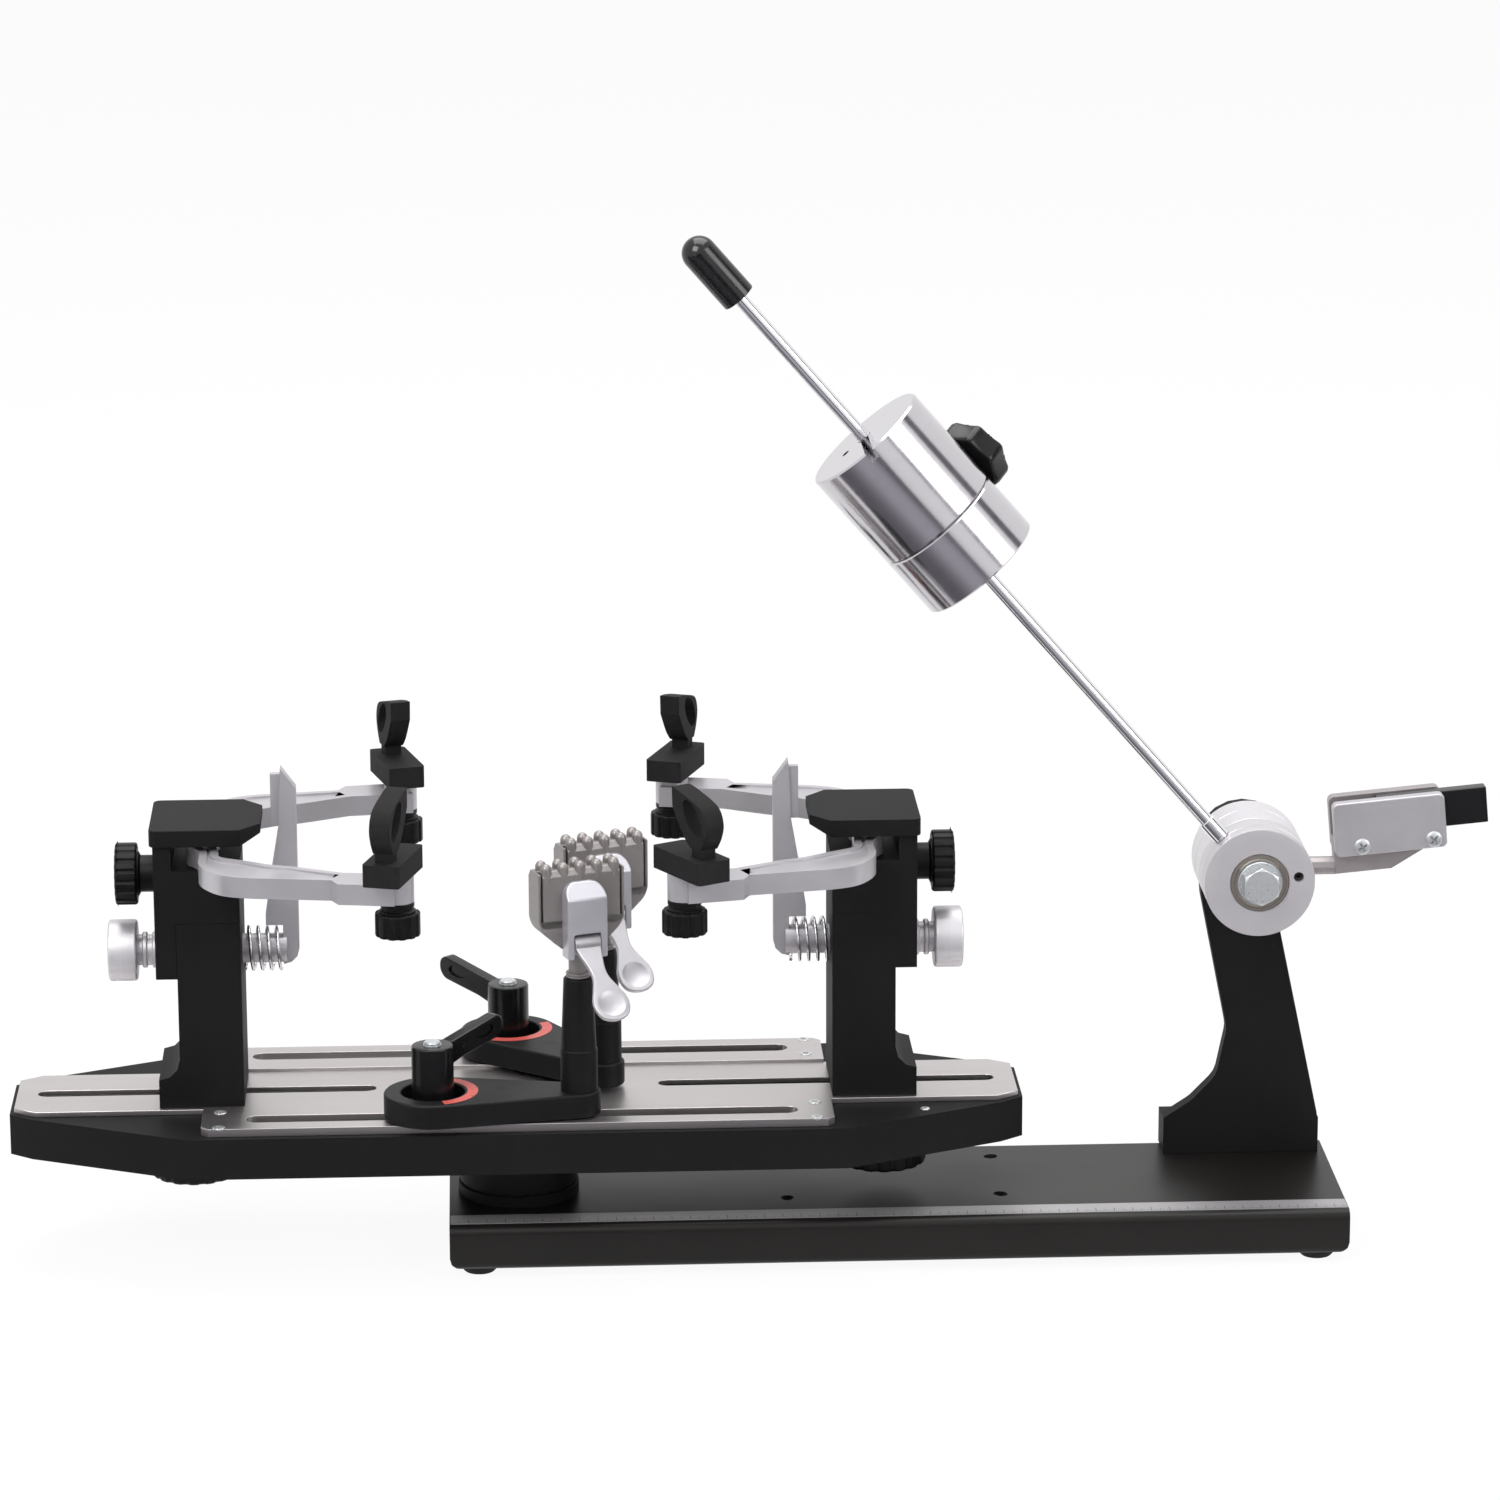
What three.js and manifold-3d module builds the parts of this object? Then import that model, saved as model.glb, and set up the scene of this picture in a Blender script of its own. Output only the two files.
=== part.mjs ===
// A table-top racket stringing machine with a drop weight, in millimetres.
// +Z is up, the turntable's rail lies along X and the front faces -Y. It is drawn about the pivot.
import * as THREE from "three";
import { mergeVertices } from "three/addons/utils/BufferGeometryUtils.js";
import Module from "manifold-3d";

const wasm = await Module();
wasm.setup();

// Values that all pieces share
const fit = 0.3;
const overrun = 2;
const weld = 0.001;
const roundSteps = 20;
const smallRoundSteps = 10;
const arcStep = Math.PI / 5;

// Base channel of bent sheet, with lips turned in under it
const baseLength = 487.6;
const baseDepth = 126;
const baseTop = 30;
const sheet = 3;
const bendRadius = 5;
const lipWidth = 30;
const flangeCornerRadius = 7;
const pivotFromBaseEnd = 38;
const holeDiameter = 6.6;
const holeFromPivot = [146, 263.4];
const holeFromMiddle = 24.2;
const slottedHoleFromMiddle = 40.9;

// Rubber feet
const footHeight = 5;
const footTopRadius = 12.2;
const footBottomRadius = 8.5;
const footFromEnd = 16;
const footFromMiddle = 46;

// Tension post: its outline is given as shares of its foot's width and of its rise to the axle
const axleX = 401;
const axleZ = 206.9;
const postLeft = 359.2;
const postWidth = 86.6;
const postFront = 39;
const postThickness = 10;
const postFootDepth = 24;
const postFootHeight = 20;
const postHeadRadius = 25;
const postBossRadius = 12;
const postShares = [
  [0, 0],
  [1, 0],
  [0.99, 0.128],
  [0.734, 0.719],
  [0.67, 0.93],
  [0.2, 0.96],
  [0.222, 0.843],
  [0.398, 0.41],
  [0.334, 0.256],
  [0.174, 0.175],
  [0, 0.119],
];
const postCornerRadius = 14;

// Axle bolt with its washer and nut
const axleRadius = 6;
const hexAcrossFlats = 18.6;
const hexHeadHeight = 7.5;
const axleWasherRadius = 12;
const axleWasherThickness = 2.5;
const axleNutHeight = 10;

// Front disc, which carries the arm, and the string drum behind it
const drumRadius = 30;
const discFront = -33;
const discThickness = 23;
const drumBack = 27;
const bearingRecessRadius = 16;
const bearingRecessDepth = 1.2;
const grooveWidth = 1;
const grooveDepth = 0.6;
const discGrooveShare = 0.39;
const drumGrooveShare = 0.5;
const discHoleRadius = 2.75;
const discHoleFromAxle = 21.2;
const discHoleAngle = 8.1;
const discHoleDepth = 10;
const edgeChamfer = 0.8;

// Arm, weights and grip: distances along the arm are from the axle
const armLean = 131;
const armPlaneY = -22;
const armRadius = 3.8;
const armSeatDepth = 14;
const adapterRadius = 4.8;
const adapterLength = 13;
const gripStart = 425;
const gripLength = 43;
const gripRadius = 8.8;
const gripNoseShare = 0.45;
const weightRadius = 35;
const weightStart = 230;
const weightSeam = 266;
const weightEnd = 325;
const weightChamfer = 1;
const weightSlotWidth = 5;
const weightSlotDepth = 6;
const weightScrewHoleRadius = 2.2;
const weightScrewHoleShare = 0.37;

// Star knob that locks the weight
const starKnobAlong = 272;
const starKnobTilt = 45;
const starKnobRadius = 20.5;
const starKnobHeight = 14;
const starKnobGap = 3;
const starKnobLobes = 8;
const starKnobNotch = 2.6;
const starKnobBevel = 2.5;
const starKnobStudRadius = 4;
const starKnobStudDepth = 22;

// String gripper
const gripperTurn = 5.2;
const stemRadius = 5;
const stemEnd = 44;
const stemSeatDepth = 12;
const plateLength = 61;
const plateHeight = 30;
const plateThickness = 7;
const plateFront = -13;
const plateInset = 44;
const plateRise = 7.5;
const plateCornerRadius = 3;
const jawGap = 9;
const rearPlateThickness = 7;
const gripperFloor = 9;
const gripperKeelShares = [
  [0, -1],
  [0.5, -1],
  [0.86, 0],
  [1, 0],
  [1, 0.8],
];
const gripperKeel = 11;
const jawLength = 60;
const jawProud = 24;
const jawHeight = 20;
const screwRadius = 2;
const screwHeadRadius = 4.6;
const screwHeadHeight = 2;
const screwInsetShares = [0.24, 0.88];
const screwRiseShare = 0.17;

// Pivot hub on the base: flange, column and spindle
const hubFlangeRadius = 33;
const hubFlangeHeight = 6.3;
const hubColumnRadius = 32;
const spindleRadius = 10;
const spindleTop = 66;
const spindleThreadRadius = 6;
const hubWeb = 7;
const pivotNutHeight = 9;
const nutRoomRadius = 13;

// Turntable casting, a six-sided tray that is open below
const railHalfLength = 271.9;
const railTipMargin = 2.4;
const castingHalfLength = railHalfLength + railTipMargin;
const castingHalfWidth = 76;
const castingTipRun = 97.8;
const castingShoulder = castingHalfLength - castingTipRun;
const castingTipHalfWidth = 35.5;
const castingTipChamfer = [12.3, 9.9];
const castingBottom = 64;
const castingTop = 86.5;
const castingWall = 5;
const castingSkin = 4;
const spineWidth = 32;
const spineSlotWidth = 11;
const channelWidth = 24;

// Rail and deck plates
const railHalfWidth = 32.6;
const railTipChamfer = [12, 8];
const railThickness = 3;
const slotWidth = 10;
const slotStart = 76.8;
const slotTipMargin = 11.2;
const slotEnd = railHalfLength - slotTipMargin;
const deckMargin = 7;
const deckHalfLength = castingShoulder - deckMargin;
const deckEdge = 72.1;
const deckThickness = 4.6;
const deckCornerCut = 4;
const sideSlotY = 55.4;
const sideSlotWidth = 11.7;
const sideSlotMargins = [23.5, 19.1];
const sideSlotStart = sideSlotMargins[0] - deckHalfLength;
const sideSlotEnd = deckHalfLength - sideSlotMargins[1];
const spineSlotMargin = 2.5;

// Towers: u runs inwards from the column's inner face, v across, z from the table
const towerMargins = [124.5, 101.4];
const towerInnerFaces = [towerMargins[0] - railHalfLength, railHalfLength - towerMargins[1]];
const towerAngles = [0, 180];
const columnWidth = 34.3;
const towerHalfDepth = 29;
const footSide = 11.5;
const columnFootTop = 105.2;
const columnFilletRadius = 11.4;
const columnTop = 192.5;
const headLegBottom = 161.7;
const armSlotBottom = 222;
const armSlotTop = 236;
const headWall = 9.8;
const topPlateTop = 245.3;
const topPlateHalfDepth = 32;
const topPlateBack = 1.8;
const topPlateFront = 0.9;
const noseLength = 10.8;
const noseHalfWidth = 19;
const topPlateCorner = 4;
const noseUndercut = 4;
const armPinRadius = 3;
const armPinInset = 20;
const armPinSpread = 14;

// Lock knob below each tower
const lockKnobRadius = 24;
const lockKnobHeight = 20.7;
const lockStudRadius = 4;
const lockStudDepth = 20;
const lockFromFootMiddle = 6;
const lockKnobFlutes = 14;
const fluteDepth = 1;

// Adjuster knob and holder knob on each tower's outer face
const adjusterZ = 213.2;
const adjusterRadius = 16.8;
const adjusterLength = 11.9;
const adjusterNeckRadius = 10;
const adjusterNeckLength = 9.4;
const adjusterFlutes = 18;
const holderZ = 170.3;
const holderKnobRadius = 16.7;
const holderKnobLength = 15.5;
const holderSleeveRadius = 9.8;
const holderSleeveLength = 10.6;
const holderBandDepth = 1.4;
const holderBands = 2;
const holderKnobSteps = 16;
const knobChamfer = 1.2;
const screwShankRadius = 4;
const adjusterScrewDepth = 26;
const holderRodEnd = 6;

// Holder blade with its shaft, and the spring on the shaft
const bladeThickness = 8;
const bladeInner = 30.6;
const bladeFootBottom = 162;
const bladeFootRadius = 9;
const bladeFootBack = 22;
const bladeNotchZ = 184;
const bladeBackShares = [
  [0.419, 0],
  [0.419, 0.07],
  [0.53, 0.33],
  [0.68, 0.63],
  [0.73, 1],
];
const bladeTipTop = 271.6;
const bladeTipShoulder = 260.3;
const bladeRibWidth = 4;
const bladeRibBottom = 239;
const bladeRibTop = 268;
const bladeRibThickness = 4;
const shaftRadius = 8;
const shaftEnd = 22;
const shaftBoreEnd = 6;
const columnBoreDepth = 31.3;
const springRadius = 11.7;
const wireRadius = 0.8;
const springCoils = 4;
const stepsPerCoil = 8;
const wireSides = 5;

// Side arms: outlines as shares of the arm's reach inwards and of its spread from the middle
const armReach = 92.5;
const armSpread = 104;
const armTop = 233.5;
const armTipTop = 237;
const armRootRadius = 8.5;
const armOuterShares = [
  [-0.305, 0.16],
  [-0.227, 0.29],
  [-0.216, 0.53],
  [-0.151, 0.673],
  [-0.065, 0.76],
  [0.065, 0.808],
  [0.27, 0.837],
  [0.551, 0.875],
];
const armTipShares = [
  [0.59, 0.952],
  [0.908, 1],
  [1, 0.784],
];
const armInnerShares = [
  [0.616, 0.74],
  [0.432, 0.654],
  [0.324, 0.606],
  [0.2, 0.567],
  [0.043, 0.481],
  [-0.097, 0.404],
  [-0.115, 0.29],
  [-0.14, 0.12],
];
const armTipStartShare = 0.56;
const armCurveSteps = 10;
const armGrooveInset = 4.2;
const armGrooveDepth = 1;
const armGrooveEndShare = 0.5;
const armSplays = [0, 2.5];
const armSeatRadius = 9;

// Supports: r runs from the knob's axis towards the racket, t across, z up
const supportPlaceShares = [0.923, 0.894];
const supportAngles = { front_left: 16, rear_left: 15, front_right: 27.5, rear_right: 17.5 };
const blockOut = 30;
const blockIn = 16;
const blockWidth = 20;
const blockHeight = 12;
const neckSize = 9.5;
const neckHeight = 6;
const neckFromEnd = 11;
const loopThickness = 11;
const loopSize = 28;
const loopOuterShares = [
  [0, -0.04],
  [-0.16, 0.2],
  [-0.225, 0.486],
  [-0.036, 0.775],
  [0.596, 0.946],
  [0.964, 1],
];
const loopInnerShares = [
  [0.946, 0.629],
  [0.607, 0.189],
  [0.339, -0.04],
];
const loopHoleShares = [0.236, 0.525];
const loopHoleLength = 23.8;
const loopHoleWidth = 12;
const loopCurveSteps = 8;

// Support knobs
const supportCollarRadius = 9;
const supportCollarHeight = 5.5;
const supportKnobRadius = 12;
const supportKnobHeight = 13;
const supportKnobFlutes = 12;
const supportScrewRadius = 3;
const supportScrewDepth = 8;

// String clamps: bases, posts and levers, about each clamp's hub
const clampHubs = { front: [-45.5, -sideSlotY], rear: [-4.2, sideSlotY] };
const clampAngles = { front: 0, rear: -49.2 };
const leverAngles = { front: 45, rear: 135 };
const headAngles = { front: 20, rear: 20 };
const clampHubRadius = 26.5;
const clampPostEndRadius = 11.5;
const clampReach = 78.4;
const clampBaseHeight = 13.6;
const clampBevel = 1.2;
const clampRecessRadius = 17.3;
const clampFloor = 6;
const postRadius = 10;
const postCollarZ = 128;
const postTaperRadii = [9.5, 7.9];
const postTop = 167.5;
const stemBoreDepth = 36;
const tHeadSize = 20;
const tHeadHeight = 5;
const studRadius = 5;
const studWasherRadius = 12.4;
const studWasherThickness = 1.5;
const studCapRadius = 4.5;
const studCapHeight = 1.8;
const leverHubRadius = 11.3;
const leverTop = 131;
const leverLength = 50;
const leverRise = 8;
const leverHeight = 13;
const leverThickness = 8;
const leverPanelLength = 15;
const leverPanelHeight = 7;
const leverPanelDepth = 1.2;

// Clamp heads: w is the jaws' width, the front faces -Y
const headHalfWidth = 24.35;
const headFront = -7;
const headBack = 9;
const jawFloor = 199;
const jawTop = 226;
const headShoulder = 197;
const headNeckHalfWidth = 8;
const headNeckZ = 183;
const headStemTop = 186;
const headRingRadius = 6.5;
const headRingHeight = 3.2;
const pocketHalfWidth = 22.3;
const stringGap = 1.8;
const toothCount = 5;
const toothPitch = 9.6;
const toothRadius = 2.4;
const toothHeight = 8;
const toothSides = 6;
const yokeHalfWidth = 11;
const yokeFront = -16;
const yokeTop = 223;
const yokeBottom = 182;
const yokeRoot = 1;
const yokeCornerRadius = 6;
const yokeSlope = 7;
const windowHalfWidth = 7.5;
const windowTop = 195.5;
const pinRadius = 1.8;
const pinY = -12;
const pinZ = 190;
const spoonHubRadius = 4.2;
const spoonReach = 37.6;
const spoonDrop = 46;
const spoonLean = 6;
const spoonPaddleRadius = 10.4;
const spoonNeckShare = 0.4;
const spoonNeckHalfWidth = 4;
const spoonThickness = 3;

// Finishes seen in the photo
const blackPaint = { color: 0x1d1d20, roughness: 0.55, metalness: 0.25 };
const blackCast = { color: 0x232326, roughness: 0.6, metalness: 0.2 };
const blackPlastic = { color: 0x17171a, roughness: 0.45, metalness: 0 };
const blackRubber = { color: 0x202022, roughness: 0.8, metalness: 0 };
const brushedSteel = { color: 0xb6b3b2, roughness: 0.35, metalness: 0.9 };
const aluminium = { color: 0xc9c7cc, roughness: 0.3, metalness: 0.85 };
const castAluminium = { color: 0xb9b9be, roughness: 0.5, metalness: 0.7 };
const jawSteel = { color: 0x8d8683, roughness: 0.45, metalness: 0.7 };
const chrome = { color: 0xd9d9dc, roughness: 0.15, metalness: 1 };

const radians = THREE.MathUtils.degToRad;

// A closed geometry as a solid that can be joined and cut.
function solid(geometry) {
  const source = geometry.index ? geometry.toNonIndexed() : geometry;
  const bare = new THREE.BufferGeometry();
  bare.setAttribute("position", source.getAttribute("position"));
  const merged = mergeVertices(bare, weld);
  const triVerts = [];
  for (let i = 0; i < merged.index.count; i += 3) {
    const [a, b, c] = merged.index.array.subarray(i, i + 3);
    if (a !== b && b !== c && c !== a) triVerts.push(a, b, c);
  }
  const vertProperties = merged.attributes.position.array;
  return new wasm.Manifold(
    new wasm.Mesh({ numProp: 3, vertProperties, triVerts: new Uint32Array(triVerts) }),
  );
}

function join(...solids) {
  return solids.reduce((whole, piece) => whole.add(piece));
}

function cut(whole, ...tools) {
  return tools.reduce((rest, tool) => rest.subtract(tool), whole);
}

// A named mesh with its own material.
function mesh(name, shape, finish) {
  const { vertProperties, triVerts } = shape.getMesh();
  const geometry = new THREE.BufferGeometry();
  geometry.setAttribute("position", new THREE.BufferAttribute(vertProperties, 3));
  geometry.setIndex(new THREE.BufferAttribute(triVerts, 1));
  const flat = geometry.toNonIndexed();
  flat.computeVertexNormals();
  const made = new THREE.Mesh(flat, new THREE.MeshStandardMaterial(finish));
  made.name = name;
  return made;
}

function groupAt(x, y, z, turn, ...children) {
  const group = new THREE.Group();
  group.position.set(x, y, z);
  group.rotation.z = radians(turn);
  group.add(...children);
  return group;
}

// Straight edges between corners; a corner's third value is its radius, limited by its edges.
function outline(corners) {
  const points = [];
  const count = corners.length;
  corners.forEach(([x, y, radius = 0], i) => {
    const corner = new THREE.Vector2(x, y);
    if (radius <= 0) {
      points.push(corner);
      return;
    }
    const [before, after] = [corners[(i + count - 1) % count], corners[(i + 1) % count]];
    const toBefore = new THREE.Vector2(before[0], before[1]).sub(corner);
    const toAfter = new THREE.Vector2(after[0], after[1]).sub(corner);
    const room = Math.min(
      toBefore.length() / (before[2] ? 2 : 1),
      toAfter.length() / (after[2] ? 2 : 1),
    );
    toBefore.normalize();
    toAfter.normalize();
    const half = Math.acos(toBefore.dot(toAfter)) / 2;
    const reach = Math.min(radius / Math.tan(half), room);
    const size = reach * Math.tan(half);
    const centre = toBefore.clone().add(toAfter).normalize();
    centre.multiplyScalar(size / Math.sin(half)).add(corner);
    const start = corner.clone().addScaledVector(toBefore, reach).sub(centre);
    const end = corner.clone().addScaledVector(toAfter, reach).sub(centre);
    const sweep = Math.atan2(start.cross(end), start.dot(end));
    const steps = Math.max(2, Math.ceil(Math.abs(sweep) / arcStep));
    for (let k = 0; k <= steps; k++) {
      points.push(start.clone().rotateAround(new THREE.Vector2(), (sweep * k) / steps).add(centre));
    }
  });
  return points;
}

function rectangle(x0, y0, x1, y1, radius = 0) {
  return outline([
    [x0, y0, radius],
    [x1, y0, radius],
    [x1, y1, radius],
    [x0, y1, radius],
  ]);
}

function circle(radius, x = 0, y = 0, steps = roundSteps) {
  return Array.from({ length: steps }, (_, i) => {
    const angle = (2 * Math.PI * i) / steps;
    return new THREE.Vector2(x + radius * Math.cos(angle), y + radius * Math.sin(angle));
  });
}

// A slot's outline along X with round ends; its centres lie at x0 and x1.
function slotOutline(x0, x1, y, width) {
  const r = width / 2;
  return outline([
    [x0 - r, y - r, r],
    [x1 + r, y - r, r],
    [x1 + r, y + r, r],
    [x0 - r, y + r, r],
  ]);
}

function hexagon(acrossFlats) {
  return circle(acrossFlats / Math.sqrt(3), 0, 0, 6);
}

// A round outline with a shallow flute between each two ridges.
function fluted(radius, depth, count) {
  const points = [];
  for (let i = 0; i < count; i++) {
    for (const [share, r] of [[0, radius], [0.5, radius - depth]]) {
      const angle = (2 * Math.PI * (i + share)) / count;
      points.push(new THREE.Vector2(r * Math.cos(angle), r * Math.sin(angle)));
    }
  }
  return points;
}

// An outline moved inwards by the same distance all round.
function inset(points, distance) {
  const count = points.length;
  const turn = THREE.ShapeUtils.area(points) > 0 ? 1 : -1;
  const edges = points.map((p, i) => {
    const along = points[(i + 1) % count].clone().sub(p).normalize();
    const inward = new THREE.Vector2(-along.y, along.x).multiplyScalar(turn * distance);
    return { start: p.clone().add(inward), along };
  });
  return edges.map((edge, i) => {
    const last = edges[(i + count - 1) % count];
    const sine = last.along.cross(edge.along);
    if (Math.abs(sine) < weld) return edge.start;
    const reach = edge.start.clone().sub(last.start).cross(edge.along) / sine;
    return last.start.clone().addScaledVector(last.along, reach);
  });
}

// Shares of a width and a height as points.
function scaled(shares, width, height, x = 0, y = 0) {
  return shares.map(([a, b]) => new THREE.Vector2(x + a * width, y + b * height));
}

function curve(points, steps) {
  return new THREE.SplineCurve(points).getPoints(steps);
}

function extruded(points, length, bevel = 0) {
  return new THREE.ExtrudeGeometry(new THREE.Shape(points), {
    depth: length - 2 * bevel,
    bevelEnabled: bevel > 0,
    bevelThickness: bevel,
    bevelSize: bevel,
    bevelOffset: -bevel,
    bevelSegments: 1,
  }).translate(0, 0, bevel);
}

// An outline drawn in X and Y that runs up from one height to another.
function upright(points, from, to, bevel = 0) {
  return solid(extruded(points, to - from, bevel).translate(0, 0, from));
}

// An outline drawn in X and Z that runs back along Y.
function sideways(points, from, to, bevel = 0) {
  return solid(extruded(points, to - from, bevel).rotateX(Math.PI / 2).translate(0, to, 0));
}

// An outline drawn in Y and Z that runs along X.
function lengthways(points, from, to, bevel = 0) {
  const turn = new THREE.Matrix4().makeBasis(
    new THREE.Vector3(0, 1, 0),
    new THREE.Vector3(0, 0, 1),
    new THREE.Vector3(1, 0, 0),
  );
  return solid(extruded(points, to - from, bevel).applyMatrix4(turn).translate(from, 0, 0));
}

function block(x0, x1, y0, y1, z0, z1) {
  return upright(rectangle(x0, y0, x1, y1), z0, z1);
}

// A closed profile of radius and height, turned about Z.
function turned(profile, steps = roundSteps) {
  const points = profile.map(([r, z]) => new THREE.Vector2(r, z));
  if (THREE.ShapeUtils.area(points) < 0) points.reverse();
  points.push(points[0].clone());
  return solid(new THREE.LatheGeometry(points, steps).rotateX(Math.PI / 2));
}

// The same about X and about Y; the second value runs along that axis.
function turnedX(profile, steps) {
  return turned(profile, steps).rotate([0, 90, 0]);
}

function turnedY(profile, steps) {
  return turned(profile, steps).rotate([-90, 0, 0]);
}

function drumProfile(radius, from, to, chamfer, bore) {
  return [
    [bore, from],
    [radius - chamfer, from],
    [radius, from + chamfer],
    [radius, to - chamfer],
    [radius - chamfer, to],
    [bore, to],
  ];
}

// Base

const baseLeft = -pivotFromBaseEnd;
const baseRight = baseLength - pivotFromBaseEnd;
const baseHalf = baseDepth / 2;

function baseChannel() {
  const outside = rectangle(-baseHalf, footHeight, baseHalf, baseTop, bendRadius);
  const inside = rectangle(
    -baseHalf + sheet,
    footHeight + sheet,
    baseHalf - sheet,
    baseTop - sheet,
    bendRadius - sheet,
  );
  const flange = outline([
    [baseLeft, footHeight, flangeCornerRadius],
    [baseRight, footHeight, flangeCornerRadius],
    [baseRight, baseTop + overrun],
    [baseLeft, baseTop + overrun],
  ]);
  const mouth = block(
    baseLeft - overrun,
    baseRight + overrun,
    -baseHalf + lipWidth,
    baseHalf - lipWidth,
    footHeight - overrun,
    (footHeight + baseTop) / 2,
  );
  const holes = holeFromPivot.map((x) => [x, -holeFromMiddle]);
  holes.push([holeFromPivot[1], slottedHoleFromMiddle], [0, 0]);
  const drills = holes.map(([x, y]) => {
    return upright(circle(holeDiameter / 2, x, y, smallRoundSteps), baseTop - 2 * sheet, baseTop + overrun);
  });
  const channel = cut(
    lengthways(outside, baseLeft, baseRight),
    lengthways(inside, baseLeft - overrun, baseRight + overrun),
    mouth,
    ...drills,
  );
  return channel.intersect(sideways(flange, -baseHalf - overrun, baseHalf + overrun));
}

function foot() {
  return turned([
    [0, 0],
    [footBottomRadius, 0],
    [footTopRadius, footHeight],
    [0, footHeight],
  ], smallRoundSteps);
}

function tensionPost() {
  const rise = axleZ - baseTop;
  const back = postFront + postThickness;
  const points = postShares.map(([a, b], i) => {
    const radius = i > 6 && i < 10 ? postCornerRadius : 0;
    return [postLeft + a * postWidth, baseTop + b * rise, radius];
  });
  const bolt = circle(axleRadius + fit, axleX, axleZ);
  const footBack = block(
    postLeft,
    postLeft + postWidth,
    postFront,
    postFront + postFootDepth,
    baseTop,
    baseTop + postFootHeight,
  );
  return cut(
    join(
      sideways(outline(points), postFront, back),
      sideways(circle(postHeadRadius, axleX, axleZ), postFront, back),
      sideways(circle(postBossRadius, axleX, axleZ), drumBack + fit, back),
      footBack,
    ),
    sideways(bolt, drumBack, back + overrun),
  );
}

// The bolt's head and washer lie in front, the nut behind the post.
function axleBolt() {
  const washerBack = discFront + bearingRecessDepth - fit;
  const washerFront = washerBack - axleWasherThickness;
  const headFront = washerFront - hexHeadHeight;
  const nutFront = postFront + postThickness;
  const nutBack = nutFront + axleNutHeight;
  return join(
    sideways(hexagon(hexAcrossFlats), headFront, washerFront),
    sideways(circle(axleWasherRadius), washerFront, washerBack),
    sideways(circle(axleRadius), washerFront, nutBack + overrun),
    sideways(hexagon(hexAcrossFlats), nutFront, nutBack),
  );
}

function pivotHub() {
  const flangeTop = baseTop + hubFlangeHeight;
  const columnTopZ = castingBottom - fit;
  const nutBottom = spindleTop + fit + hubWeb + fit;
  const nutTop = nutBottom + pivotNutHeight;
  const spindle = turned([
    [0, baseTop],
    [hubFlangeRadius, baseTop],
    [hubFlangeRadius, flangeTop],
    [hubColumnRadius, flangeTop],
    [hubColumnRadius, columnTopZ],
    [spindleRadius, columnTopZ],
    [spindleRadius, spindleTop],
    [spindleThreadRadius, spindleTop],
    [spindleThreadRadius, nutTop + overrun],
    [0, nutTop + overrun],
  ]);
  return join(spindle, upright(hexagon(hexAcrossFlats), nutBottom, nutTop));
}

// Tensioner, about the axle

function grooved(front, back, share) {
  const middle = front + (back - front) * share;
  return [
    [axleRadius + fit, front],
    [drumRadius - edgeChamfer, front],
    [drumRadius, front + edgeChamfer],
    [drumRadius, middle - grooveWidth / 2],
    [drumRadius - grooveDepth, middle],
    [drumRadius, middle + grooveWidth / 2],
    [drumRadius, back - edgeChamfer],
    [drumRadius - edgeChamfer, back],
    [axleRadius + fit, back],
  ];
}

// The disc is drawn with the arm straight up.
function armHub() {
  const back = discFront + discThickness;
  const recess = circle(bearingRecessRadius);
  const holeAngle = radians(armLean - discHoleAngle);
  const hole = circle(
    discHoleRadius,
    discHoleFromAxle * Math.sin(holeAngle),
    discHoleFromAxle * Math.cos(holeAngle),
    smallRoundSteps,
  );
  const seat = upright(
    circle(armRadius + fit, 0, armPlaneY, smallRoundSteps),
    drumRadius - armSeatDepth,
    drumRadius + overrun,
  );
  return cut(
    turnedY(grooved(discFront, back, discGrooveShare)),
    sideways(recess, discFront - overrun, discFront + bearingRecessDepth),
    sideways(hole, discFront - overrun, discFront + discHoleDepth),
    seat,
  );
}

function armRod() {
  const start = drumRadius - armSeatDepth + fit;
  const adapterStart = drumRadius + fit;
  return turned([
    [0, start],
    [armRadius, start],
    [armRadius, adapterStart],
    [adapterRadius, adapterStart],
    [adapterRadius, adapterStart + adapterLength],
    [armRadius, adapterStart + adapterLength],
    [armRadius, gripStart + gripLength / 2],
    [0, gripStart + gripLength / 2],
  ], smallRoundSteps).translate([0, armPlaneY, 0]);
}

function rodGrip() {
  const end = gripStart + gripLength;
  const nose = gripLength * gripNoseShare;
  const noseSteps = 5;
  const profile = [
    [armRadius + fit, gripStart],
    [gripRadius - edgeChamfer, gripStart],
    [gripRadius, gripStart + edgeChamfer],
  ];
  for (let i = 0; i <= noseSteps; i++) {
    const angle = (Math.PI / 2) * (i / noseSteps);
    profile.push([gripRadius * Math.cos(angle), end - nose * (1 - Math.sin(angle))]);
  }
  profile.push([0, gripStart + gripLength / 2 + fit]);
  profile.push([armRadius + fit, gripStart + gripLength / 2 + fit]);
  return turned(profile).translate([0, armPlaneY, 0]);
}

function weight(from, to) {
  return turned(drumProfile(weightRadius, from, to, weightChamfer, armRadius + fit));
}

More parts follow.
